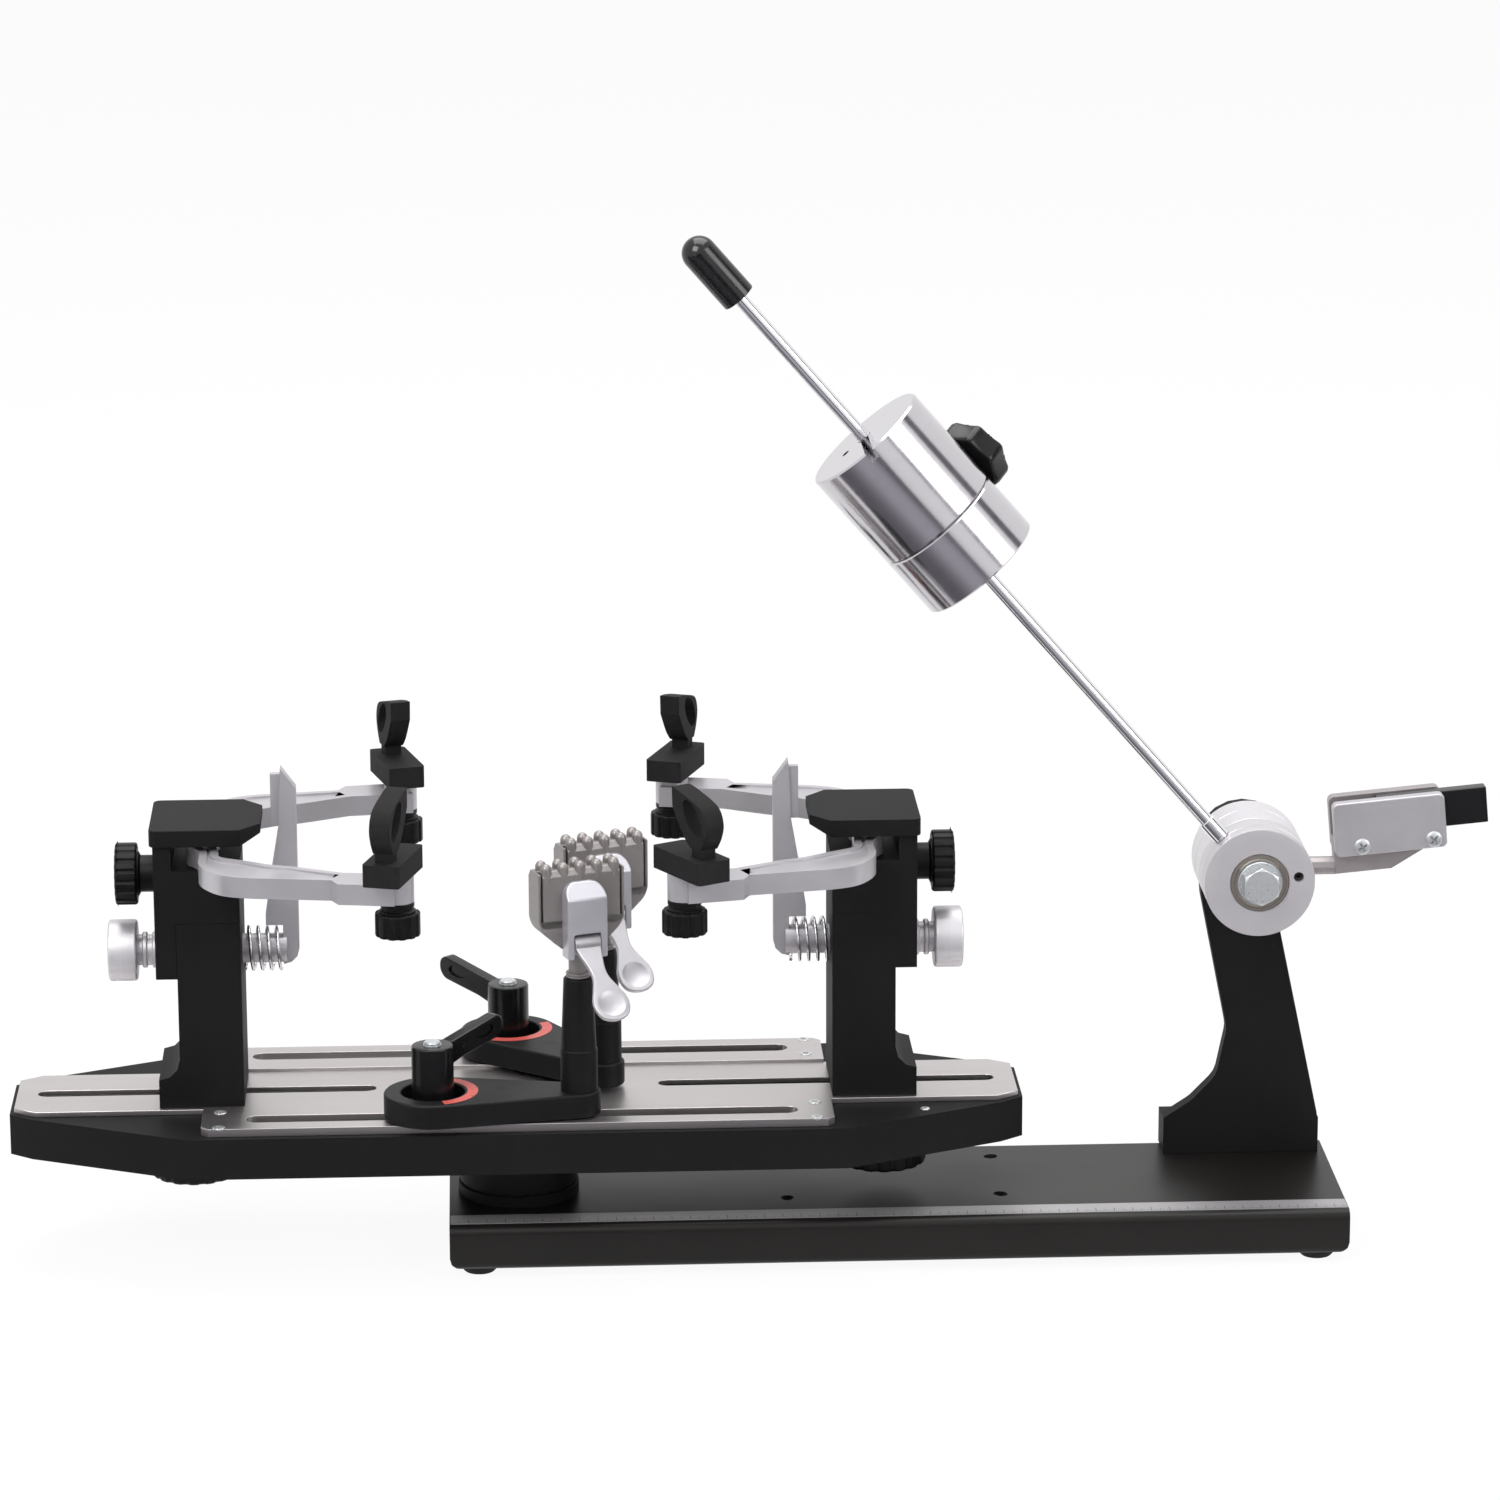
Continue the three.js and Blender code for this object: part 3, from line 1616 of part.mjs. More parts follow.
function tensioner() {
  const knob = mesh("weight_knob", starKnob(), blackPlastic);
  knob.position.set(0, armPlaneY, starKnobAlong);
  knob.rotation.z = radians(starKnobTilt);
  const arm = new THREE.Group();
  arm.add(
    mesh("arm_hub", armHub(), aluminium),
    mesh("arm_rod", armRod(), chrome),
    mesh("rod_grip", rodGrip(), blackRubber),
    mesh("main_weight", mainWeight(), aluminium),
    mesh("add_on_weight", weight(weightStart, weightSeam - fit).translate([0, armPlaneY, 0]), aluminium),
    knob,
  );
  arm.rotation.y = radians(90 - armLean);
  const drum = new THREE.Group();
  drum.add(
    mesh("tension_drum", tensionDrum(), aluminium),
    mesh("gripper_body", gripperBody(), castAluminium),
    mesh("gripper_front_plate", gripperFrontPlate(), aluminium),
    mesh("gripper_jaw", gripperJaw(), blackPlastic),
  );
  const all = new THREE.Group();
  all.position.set(axleX, 0, axleZ);
  all.add(arm, drum);
  return all;
}

function sideParts(corner, side, splay) {
  const [u, v] = supportPlace();
  const made = mesh(corner + "_support", support(), blackRubber);
  const knob = mesh(corner + "_support_knob", supportKnob(), blackPlastic);
  const turn = side * (supportAngles[corner] - 90);
  const holder = groupAt(u + armPinInset, side * (v - armPinSpread), 0, turn, made, knob);
  const arm = mesh(corner + "_side_arm", sideArm(side), castAluminium);
  return groupAt(-armPinInset, side * armPinSpread, 0, side * splay, arm, holder);
}

// The right tower is the left one turned about, so its front arm is the one with v positive.
function tower(name, index) {
  const frontSide = index ? 1 : -1;
  const lock = mesh(name + "_lock_knob", lockKnob(), blackPlastic);
  lock.position.x = lockU;
  const adjuster = mesh(name + "_adjuster_knob", adjusterKnob(), blackPlastic);
  adjuster.position.z = adjusterZ;
  const knob = mesh(name + "_holder_knob", holderKnob(), aluminium);
  knob.position.z = holderZ;
  const coil = mesh(name + "_holder_spring", spring(), chrome);
  coil.position.z = holderZ;
  return groupAt(
    towerInnerFaces[index],
    0,
    0,
    towerAngles[index],
    mesh(name + "_tower_column", towerColumn(), blackCast),
    mesh(name + "_tower_head", towerHead(), blackCast),
    mesh(name + "_holder_blade", holderBlade(), castAluminium),
    lock,
    adjuster,
    knob,
    coil,
    sideParts("front_" + name, frontSide, armSplays[index]),
    sideParts("rear_" + name, -frontSide, armSplays[index]),
  );
}

function clamp(name) {
  const [x, y] = clampHubs[name];
  const spoon = mesh(name + "_clamp_spoon_lever", spoonLever(), castAluminium);
  spoon.position.set(0, pinY, pinZ);
  const head = groupAt(
    clampReach,
    0,
    0,
    headAngles[name] - clampAngles[name],
    mesh(name + "_clamp_head", clampHead(), jawSteel),
    mesh(name + "_clamp_jaw", frontJaw(), jawSteel),
    spoon,
  );
  const base = mesh(name + "_clamp_base", clampBase(), blackPlastic);
  const lever = mesh(name + "_clamp_base_lever", baseLever(), blackPlastic);
  return groupAt(
    x,
    y,
    0,
    0,
    mesh(name + "_clamp_bolt", clampBolt(), brushedSteel),
    groupAt(0, 0, 0, clampAngles[name], base, head),
    groupAt(0, 0, 0, leverAngles[name], lever),
  );
}

function turntable() {
  return [
    mesh("turntable_frame", turntableFrame(), blackCast),
    mesh("center_rail", centerRail(), brushedSteel),
    mesh("front_deck_plate", deckPlate().mirror([0, 1, 0]), brushedSteel),
    mesh("rear_deck_plate", deckPlate(), brushedSteel),
    tower("left", 0),
    tower("right", 1),
    clamp("front"),
    clamp("rear"),
  ];
}

console.log("least gap between the spring's coils: " + springSelfGap(springPath()).toFixed(2) + " mm");

const group = new THREE.Group();
group.add(...baseParts(), tensioner(), ...turntable());

// The origin lies under the middle of the whole machine, on the table.
const bounds = new THREE.Box3().setFromObject(group, true);
group.position.set(
  -(bounds.min.x + bounds.max.x) / 2,
  -(bounds.min.y + bounds.max.y) / 2,
  -bounds.min.z,
);

export default group;
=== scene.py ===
"""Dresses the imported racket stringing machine: finishes, rounded edges, flutes, springs, screws, studio."""
import math

import bmesh
import bpy
from bpy.props import FloatProperty, FloatVectorProperty, IntProperty, PointerProperty
from mathutils import Matrix, Vector


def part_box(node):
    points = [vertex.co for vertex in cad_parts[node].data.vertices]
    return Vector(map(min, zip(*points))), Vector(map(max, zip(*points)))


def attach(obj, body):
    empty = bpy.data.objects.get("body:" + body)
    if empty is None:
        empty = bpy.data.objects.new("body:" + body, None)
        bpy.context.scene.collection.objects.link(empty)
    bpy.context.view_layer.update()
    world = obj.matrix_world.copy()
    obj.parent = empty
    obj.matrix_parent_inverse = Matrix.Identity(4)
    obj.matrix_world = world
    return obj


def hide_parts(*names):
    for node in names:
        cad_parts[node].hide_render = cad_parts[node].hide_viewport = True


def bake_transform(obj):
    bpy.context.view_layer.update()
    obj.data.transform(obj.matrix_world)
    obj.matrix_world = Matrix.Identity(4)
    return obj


bl_info = {
    "name": "Racket Stringing Machine",
    "version": (1, 0, 0),
    "blender": (4, 5, 0),
    "location": "View3D > Sidebar > Stringer",
    "description": "Builds the dressed pieces of a drop-weight racket stringing machine on its fixed frame",
    "category": "Object",
}

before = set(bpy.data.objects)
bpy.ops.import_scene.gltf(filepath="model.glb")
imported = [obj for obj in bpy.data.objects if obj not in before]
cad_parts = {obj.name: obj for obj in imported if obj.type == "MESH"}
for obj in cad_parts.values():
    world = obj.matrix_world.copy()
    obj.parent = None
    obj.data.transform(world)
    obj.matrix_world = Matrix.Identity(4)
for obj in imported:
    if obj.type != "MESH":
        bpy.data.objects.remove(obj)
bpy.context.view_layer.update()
MM = 0.001

# The pivot of the turntable: places are given in millimetres from it, along the machine, back and up.
hub_low, hub_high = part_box("pivot_hub")
PIVOT = Vector(((hub_low.x + hub_high.x) / 2, (hub_low.y + hub_high.y) / 2, 0))

# Heights, places and sizes in millimetres, and turns in degrees
BASE_LEFT = -38
BASE_RIGHT = 449.6
BASE_TOP = 30
RULER_FRONT = -57.5
RULER_WIDTH = 14
AXLE = (401, 0, 206.9)
HEX_ACROSS = 18.6
HEX_DOME = 1.6
BASE_HOLES = [(x, y) for x in (146.2, 262.5) for y in (-23, 40)]
BASE_HOLE_RADIUS = 3.5
CASTING_SCREW = (219.7, -45.2)
DECK_SCREWS_X = (-160, 160)
DECK_SCREWS_Y = (-69.3, -43.2, 43.2, 69.3)
CASTING_TOP = 86.5
DECK_TOP = 91.1
SIDE_SLOT_Y = 55.4
ARM_LEAN = 131
ARM_Y = -22
SPOON_DROP = 46
SPOON_LEAN = 6
SPOON_PIVOT = (0, -12, 190)
PEGS = 5
PEG_STEP = 9.6
DRILL_RADIUS = 5.3
GRIP_RADIUS = 9.4
GRIP_END = 466.2
WEIGHT_KNOB_HEIGHT = 272
WEIGHT_KNOB_TURN = 45
GRUB_RADIUS = 21.2
GRUB_TURN = 8.1
GRIPPER_PLACE = (44, 0, 7.5)
GRIPPER_TILT = -5.2
GRIPPER_SIZE = (61, 30)
GRIPPER_FRONT = -13
GRIPPER_SCREWS_X = (14.6, 53.7)
GRIPPER_SCREWS_Z = 5.1
TOWER_FACES = {"left": -147.4, "right": 170.5}
HOLDER_Z = 170.3
HOLDER_KNOB_X = -72.2
ADJUSTER_KNOB_X = -67.4
LOCK_KNOB_X = -28.9
LOCK_KNOB_Z = 43
ADJUSTER_Z = 213.2
ARM_BOTTOM = 222.3
ARM_TOP = 233.5
ARM_TIP_TOP = 237
ARM_REACH = 92.5
ARM_SPREAD = 104
ARM_PIN = (-20, 14)
ARM_RIM = 4.2
ARM_STEPS = 36
SEAT_RADIUS = 9
ROOT_RADIUS = 8.5
ARM_OUTER = (
    (-0.305, 0.16), (-0.227, 0.29), (-0.216, 0.53), (-0.151, 0.673), (-0.065, 0.76), (0.065, 0.808),
    (0.27, 0.837), (0.551, 0.875),
)
ARM_TIP = ((0.59, 0.952), (0.908, 1), (1, 0.784))
ARM_INNER = (
    (0.616, 0.74), (0.432, 0.654), (0.324, 0.606), (0.2, 0.567), (0.043, 0.481), (-0.097, 0.404),
    (-0.115, 0.29), (-0.14, 0.12),
)
SUPPORT_PLACE = (ARM_REACH * 0.923, ARM_SPREAD * 0.894)
SUPPORT_TURNS = {"front_left": 16, "rear_left": 15, "front_right": 27.5, "rear_right": 17.5}
ARM_SPLAYS = {"left": 0, "right": 2.5}
SUPPORT_BLOCK = (-30, 16, -10, 10)
SUPPORT_BLOCK_Z = (237.3, 249.3)
SUPPORT_NECK = -23.75
SUPPORT_NECK_SIZE = (9.5, 4.75)
SUPPORT_NECK_TOP = 255.3
SUPPORT_KNOB_Z = 203.5
LOOP_HOLE_CENTRE = (0.236, 0.525)
LOOP_HOLE_HALVES = (11.9, 6)
LOOP_SIZE = 28
LOOP_OUTER = ((0, -0.04), (-0.16, 0.2), (-0.225, 0.486), (-0.036, 0.775), (0.596, 0.946), (0.964, 1))
LOOP_INNER = ((0.946, 0.629), (0.607, 0.189), (0.339, -0.04))
SPRING_RADIUS = 11.7
SPRING_START = 1.1
SPRING_END = 20.9
WIRE_SIDES = 14
COIL_STEPS = 36
CLAMP_HUBS = {"front": (-45.5, -SIDE_SLOT_Y), "rear": (-4.2, SIDE_SLOT_Y)}
CLAMP_TURNS = {"front": 0, "rear": -49.2}
LEVER_TURNS = {"front": 45, "rear": 135}
HEAD_TURN = 20
CLAMP_REACH = 78.4
CLAMP_BOTTOM = 91.4
CLAMP_TOP = 105
RECESS_FLOOR = 97.4
CLAMP_HUB_RADIUS = 26.5
CLAMP_POST_RADIUS = 11.5
RING_OUTER = 24.2
RING_INNER = 18.6
RING_REACH = 75


def tilt(angle, axis):
    return Matrix.Rotation(math.radians(angle), 4, axis)


ALONG_X = tilt(90, "Y")
ALONG_Y = tilt(-90, "X")
FACING_FRONT = tilt(90, "X")


def local(x=0, y=0, z=0, turn=0):
    """A step in millimetres, then a turn about Z in degrees."""
    return Matrix.Translation(Vector((x, y, z)) * MM) @ tilt(turn, "Z")


def stand(x=0, y=0, z=0, turn=0):
    """The same, from the turntable's pivot."""
    return Matrix.Translation(PIVOT) @ local(x, y, z, turn)


AXLE_STAND = stand(*AXLE)
ARM_STAND = AXLE_STAND @ tilt(90 - ARM_LEAN, "Y")


def tower_stand(side):
    return stand(TOWER_FACES[side], 0, 0, 0 if side == "left" else 180)


def arm_side(corner):
    """1 where the arm leaves its tower towards the tower's own +Y."""
    row, side = corner.split("_")
    return 1 if (row == "rear") == (side == "left") else -1


def arm_stand(corner):
    way = arm_side(corner)
    side = corner.split("_")[1]
    return tower_stand(side) @ local(ARM_PIN[0], way * ARM_PIN[1], 0, way * ARM_SPLAYS[side])


def support_stand(corner):
    way = arm_side(corner)
    u, v = SUPPORT_PLACE
    turn = way * (SUPPORT_TURNS[corner] - 90)
    return arm_stand(corner) @ local(u - ARM_PIN[0], way * (v - ARM_PIN[1]), 0, turn)


def clamp_stand(row):
    return stand(*CLAMP_HUBS[row], 0, CLAMP_TURNS[row])


def head_stand(row):
    return clamp_stand(row) @ local(CLAMP_REACH, 0, 0, HEAD_TURN - CLAMP_TURNS[row])


# Modelling tools

SOFT_ANGLE = math.radians(35)
CORNER_SEGMENTS = 8
FLUTE_POINTS = 8


def only(piece):
    """Leaves nothing selected but this piece."""
    if bpy.context.mode != "OBJECT":
        bpy.ops.object.mode_set(mode="OBJECT")
    bpy.ops.object.select_all(action="DESELECT")
    if piece:
        piece.select_set(True)
        bpy.context.view_layer.objects.active = piece


def added(name):
    """Names the new primitive and puts its place into its mesh."""
    piece = bpy.context.active_object
    piece.name = name
    piece.data.name = name
    bpy.ops.object.transform_apply(location=True, rotation=True, scale=True)
    return piece


def box(name, x0, x1, y0, y1, z0, z1):
    only(None)
    bpy.ops.mesh.primitive_cube_add(
        size=1,
        location=Vector((x0 + x1, y0 + y1, z0 + z1)) * MM / 2,
        scale=Vector((x1 - x0, y1 - y0, z1 - z0)) * MM,
    )
    return added(name)


def rod(name, radius, start, end, x=0, y=0, sides=48):
    """An upright bar."""
    only(None)
    bpy.ops.mesh.primitive_cone_add(
        vertices=sides,
        radius1=radius * MM,
        radius2=radius * MM,
        depth=(end - start) * MM,
        location=Vector((x, y, (start + end) / 2)) * MM,
    )
    return added(name)


def draw(name, points):
    """A chain of edges drawn by extruding one vertex from point to point."""
    only(None)
    bpy.ops.mesh.primitive_plane_add(size=MM, location=points[0])
    piece = added(name)
    bpy.ops.object.mode_set(mode="EDIT")
    bpy.ops.mesh.select_mode(type="VERT")
    bpy.ops.mesh.select_all(action="SELECT")
    bpy.ops.mesh.merge(type="CENTER")
    for start, end in zip(points, points[1:]):
        bpy.ops.mesh.extrude_vertices_move(TRANSFORM_OT_translate={"value": end - start})
    bpy.ops.mesh.select_all(action="SELECT")
    return piece


def closed_up(piece):
    """Merges doubles and turns all faces outwards, then leaves edit mode."""
    bpy.ops.mesh.select_all(action="SELECT")
    bpy.ops.mesh.remove_doubles(threshold=1e-6)
    bpy.ops.mesh.dissolve_degenerate(threshold=1e-7)
    bpy.ops.mesh.select_all(action="SELECT")
    bpy.ops.mesh.normals_make_consistent(inside=False)
    bpy.ops.object.mode_set(mode="OBJECT")
    return piece


def turned(name, profile, steps=72):
    """A profile of radius and height in millimetres, spun about Z."""
    points = [Vector((r, 0, z)) * MM for r, z in profile]
    if profile[0][0] or profile[-1][0]:
        points.append(points[0].copy())
    piece = draw(name, points)
    bpy.ops.mesh.spin(steps=steps, angle=2 * math.pi, center=(0, 0, 0), axis=(0, 0, 1))
    return closed_up(piece)


def plate(name, outline, low, high, along="Z"):
    """An outline of corners in millimetres, some with a radius, extruded along Z, Y or X."""
    spots = {
        "Z": lambda a, b, h: Vector((a, b, h)) * MM,
        "Y": lambda a, b, h: Vector((a, h, b)) * MM,
        "X": lambda a, b, h: Vector((h, a, b)) * MM,
    }
    spot = spots[along]
    piece = draw(name, [spot(*corner[:2], low) for corner in outline])
    bpy.ops.mesh.edge_face_add()
    depth = spot(0, 0, high) - spot(0, 0, low)
    bpy.ops.mesh.extrude_region_move(TRANSFORM_OT_translate={"value": depth})
    for radius in sorted({corner[2] for corner in outline if len(corner) > 2}):
        feet = [spot(*corner[:2], low) for corner in outline if corner[2:] == (radius,)]
        pick_edges(piece, lambda a, b: any(
            abs((p - foot).cross(depth).length) < 1e-7 * depth.length for foot in feet for p in [(a + b) / 2]
        ) and (a - b).cross(depth).length < 1e-9)
        bpy.ops.mesh.bevel(offset=radius * MM, segments=CORNER_SEGMENTS, affect="EDGES")
    return closed_up(piece)


def pick_edges(piece, test):
    """Selects the edges whose two ends pass the test, in edit mode."""
    mesh = bmesh.from_edit_mesh(piece.data)
    bpy.ops.mesh.select_mode(type="EDGE")
    bpy.ops.mesh.select_all(action="DESELECT")
    for edge in mesh.edges:
        edge.select_set(test(edge.verts[0].co, edge.verts[1].co))
    bmesh.update_edit_mesh(piece.data)


def settle(piece, matrix):
    """Moves a piece drawn about its own origin to where it stands, with the place in its mesh."""
    only(piece)
    piece.matrix_world = matrix
    bpy.ops.object.transform_apply(location=True, rotation=True, scale=True)
    return piece


def applied(piece, kind, **settings):
    """Adds one modifier and applies it."""
    only(piece)
    modifier = piece.modifiers.new(kind.title(), kind)
    for key, value in settings.items():
        setattr(modifier, key, value)
    bpy.ops.object.modifier_apply(modifier=modifier.name)
    return piece


def combined(piece, others, operation):
    for other in others:
        applied(piece, "BOOLEAN", operation=operation, object=other, solver="EXACT")
        bpy.data.objects.remove(other)
    return piece


def united(piece, *others):
    return combined(piece, others, "UNION")


def carved(piece, *tools):
    return combined(piece, tools, "DIFFERENCE")


def rounded(piece, width, segments=2, angle=35):
    """Rounds the edges that are sharper than the angle, as a casting's or a moulding's are."""
    return applied(
        piece,
        "BEVEL",
        width=width * MM,
        segments=segments,
        limit_method="ANGLE",
        angle_limit=math.radians(angle),
        use_clamp_overlap=True,
        miter_outer="MITER_ARC",
    )


def shaded(piece):
    """Smooth over soft edges, with normals that keep the flats flat."""
    only(piece)
    bpy.ops.object.shade_smooth_by_angle(angle=SOFT_ANGLE)
    return applied(piece, "WEIGHTED_NORMAL", keep_sharp=True, weight=80)


def copied(node, name):
    """A welded copy of a CAD node, with its flats made whole."""
    piece = bpy.data.objects.new(name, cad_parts[node].data.copy())
    bpy.context.scene.collection.objects.link(piece)
    piece.data.materials.clear()
    only(piece)
    bpy.ops.object.mode_set(mode="EDIT")
    bpy.ops.mesh.select_all(action="SELECT")
    bpy.ops.mesh.remove_doubles(threshold=1e-6)
    bpy.ops.mesh.dissolve_limited(angle_limit=math.radians(0.4), delimit=set())
    bpy.ops.object.mode_set(mode="OBJECT")
    return piece


def twin(piece, name):
    """A second one with its own mesh."""
    other = piece.copy()
    other.data = piece.data.copy()
    other.name = name
    bpy.context.scene.collection.objects.link(other)
    return other


def fitted(piece, material, body, slot, *nodes):
    """Shades a finished piece, gives it its material and sets it on its body."""
    shaded(piece)
    if not piece.data.materials:
        piece.data.materials.append(material)
    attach(piece, body)
    if nodes:
        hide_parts(*nodes)
    return piece


def dressed(node, name, edge, steps, material, body, slot):
    """A CAD node's own shape with rounded edges, set on its body in the node's place."""
    return fitted(rounded(copied(node, name), edge, steps), material, body, slot, node)


def spline(points, steps):
    """Even steps along a smooth curve through the points."""
    points = [Vector(p) for p in points]
    made = []
    for i in range(steps + 1):
        spot = i / steps * (len(points) - 1)
        k = min(int(spot), len(points) - 2)
        t = spot - k
        before, start = points[max(k - 1, 0)], points[k]
        end, after = points[k + 1], points[min(k + 2, len(points) - 1)]
        v0, v1 = (end - before) / 2, (after - start) / 2
        cubic = 2 * start - 2 * end + v0 + v1
        square = -3 * start + 3 * end - 2 * v0 - v1
        made.append(tuple(cubic * t**3 + square * t**2 + v0 * t + start))
    return made


def offset(points, distance):
    """A line moved to its left by a distance."""
    moved = []
    for i, (x, y) in enumerate(points):
        before, after = points[max(i - 1, 0)], points[min(i + 1, len(points) - 1)]
        run, rise = after[0] - before[0], after[1] - before[1]
        length = math.hypot(run, rise)
        moved.append((x - rise / length * distance, y + run / length * distance))
    return moved


def arc(radius, start, end, steps, x=0, y=0):
    """Points of an arc between two angles in degrees."""
    angles = [math.radians(start + (end - start) * i / steps) for i in range(steps + 1)]
    return [(x + radius * math.cos(a), y + radius * math.sin(a)) for a in angles]


def rectangle(x0, x1, y0, y1, *radius):
    """Four corners of a plate, rounded where a radius is given."""
    return [(x0, y0, *radius), (x1, y0, *radius), (x1, y1, *radius), (x0, y1, *radius)]


def fluted(radius, depth, count):
    """A round outline with hollow flutes between broad ridges."""
    points = []
    for i in range(count * FLUTE_POINTS):
        share = i / FLUTE_POINTS % 1
        dip = max(0, math.cos(2 * math.pi * (share - 0.5))) ** 0.7
        angle = 2 * math.pi * i / (count * FLUTE_POINTS)
        points.append(((radius - depth * dip) * math.cos(angle), (radius - depth * dip) * math.sin(angle)))
    return points


# Shader tools

BRUSH_SQUEEZE = 0.012
TURNED_LINES = 1400.0


def plug(tree, socket, value):
    if isinstance(value, Value):
        tree.links.new(value.socket, socket)
    elif value is not None:
        socket.default_value = value


class Value:
    """A socket that varies over a surface; a sum of values adds its Math nodes."""

    def __init__(self, socket):
        self.socket = socket

    def math(self, operation, *others):
        tree = self.socket.id_data
        node = tree.nodes.new("ShaderNodeMath")
        node.operation = operation
        for socket, value in zip(node.inputs, others):
            plug(tree, socket, value)
        return Value(node.outputs[0])

    def __add__(self, other):
        return self.math("ADD", self, other)

    __radd__ = __add__

    def __sub__(self, other):
        return self.math("SUBTRACT", self, other)

    def __rsub__(self, other):
        return self.math("SUBTRACT", other, self)

    def __mul__(self, other):
        return self.math("MULTIPLY", self, other)

    def __truediv__(self, other):
        return self.math("DIVIDE", self, other)

    def __gt__(self, other):
        return self.math("GREATER_THAN", self, other)

    def root(self):
        return self.math("SQRT", self)

    def fraction(self):
        return self.math("FRACT", self)


class Finish:
    """The nodes of one material: a shader, and the patterns that feed it."""

    def __init__(self, name, metallic=0.0, specular=0.5):
        self.material = bpy.data.materials.new(name)
        self.material.use_nodes = True
        self.tree = self.material.node_tree
        self.shader = next(n for n in self.tree.nodes if n.type == "BSDF_PRINCIPLED")
        self.shader.inputs["Metallic"].default_value = metallic
        self.shader.inputs["Specular IOR Level"].default_value = specular
        self.place = self.node("ShaderNodeTexCoord", out="Object")

    def node(self, kind, settings=None, values=None, out=0):
        """One node: its settings first, then the values or links of its sockets by name or number."""
        node = self.tree.nodes.new(kind)
        for key, value in (settings or {}).items():
            setattr(node, key, value)
        for key, value in (values or {}).items():
            plug(self.tree, node.inputs[key], value)
        return Value(node.outputs[out])

    def mapped(self, location=(0, 0, 0), rotation=(0, 0, 0), scale=(1, 1, 1)):
        """The place on the piece, seen from a frame that stands at a spot."""
        values = {"Vector": self.place, "Location": location, "Rotation": rotation, "Scale": scale}
        return self.node("ShaderNodeMapping", {"vector_type": "TEXTURE"}, values)

    def noise(self, scale, detail=2.0, rough=0.5, vector=None):
        values = {"Vector": vector or self.place, "Scale": scale, "Detail": detail, "Roughness": rough}
        return self.node("ShaderNodeTexNoise", None, values)

    def split(self, vector):
        node = self.tree.nodes.new("ShaderNodeSeparateXYZ")
        plug(self.tree, node.inputs[0], vector)
        return [Value(socket) for socket in node.outputs]

    def joined(self, x, y, z):
        return self.node("ShaderNodeCombineXYZ", None, {0: x, 1: y, 2: z})

    def mix(self, share, first, second):
        """A blend of two colours."""
        return self.node("ShaderNodeMix", {"data_type": "RGBA"}, {0: share, 6: first, 7: second}, 2)

    def stepped(self, value, low, high):
        """0 below low and 1 above high, with a soft step between."""
        values = {0: value, 1: low, 2: high}
        return self.node("ShaderNodeMapRange", {"interpolation_type": "SMOOTHSTEP"}, values)

    def set(self, **inputs):
        for name, value in inputs.items():
            plug(self.tree, self.shader.inputs[name.replace("_", " ").title()], value)
        return self

    def bumped(self, height, distance):
        values = {"Height": height, "Distance": distance * MM, "Strength": 1.0}
        plug(self.tree, self.shader.inputs["Normal"], self.node("ShaderNodeBump", None, values))
        return self.material


def rgba(colour, factor=1.0):
    return (colour[0] * factor, colour[1] * factor, colour[2] * factor, 1.0)


def painted(name, colour, roughness, grain, depth, specular=0.3):
    """Powder coat: a fine orange peel and faint clouds."""
    finish = Finish(name, specular=specular)
    peel = finish.noise(grain, 3.0, 0.6)
    clouds = finish.noise(14.0, 3.0)
    finish.set(
        base_color=finish.mix(clouds, rgba(colour, 0.8), rgba(colour, 1.25)),
        roughness=clouds * 0.12 + (roughness - 0.06),
    )
    return finish.bumped(peel, depth)


def moulded(name, colour, roughness, specular=0.4, depth=0.02):
    """Moulded plastic or rubber with a fine matt grain and a few rub marks."""
    finish = Finish(name, specular=specular)
    grain = finish.noise(1500.0, 2.0)
    rubs = finish.stepped(finish.noise(55.0, 4.0, 0.65), 0.52, 0.75)
    finish.set(
        base_color=finish.mix(rubs * 0.35, rgba(colour), rgba(colour, 1.9)),
        roughness=roughness + rubs * 0.08 + grain * 0.05,
    )
    return finish.bumped(grain, depth)


def cast_metal(name, colour, roughness, metallic=0.6, grain=900.0, depth=0.03):
    """Cast or tumbled metal: a satin grain with soft cloudy tone."""
    finish = Finish(name, metallic=metallic)
    fine = finish.noise(grain, 3.0, 0.6)
    clouds = finish.noise(35.0, 4.0, 0.6)
    finish.set(
        base_color=finish.mix(clouds, rgba(colour, 0.85), rgba(colour, 1.1)),
        roughness=roughness + (clouds - 0.5) * 0.2 + (fine - 0.5) * 0.15,
    )
    return finish.bumped(fine, depth)


def brushed_metal(name, colour, roughness):
    """Rolled or brushed metal: long fine lines along one way."""
    finish = Finish(name, metallic=1.0)
    stretched = finish.mapped(scale=(1 / BRUSH_SQUEEZE, 1, 1))
    lines = finish.noise(2400.0, 2.0, 0.6, stretched)
    bands = finish.noise(300.0, 2.0, 0.5, stretched)
    clouds = finish.noise(12.0, 3.0)
    shade = lines * 0.5 + bands * 0.3 + clouds * 0.2
    finish.set(
        base_color=finish.mix(shade, rgba(colour, 0.78), rgba(colour, 1.14)),
        roughness=roughness + (shade - 0.5) * 0.22,
    )
    return finish.bumped(lines, 0.01)


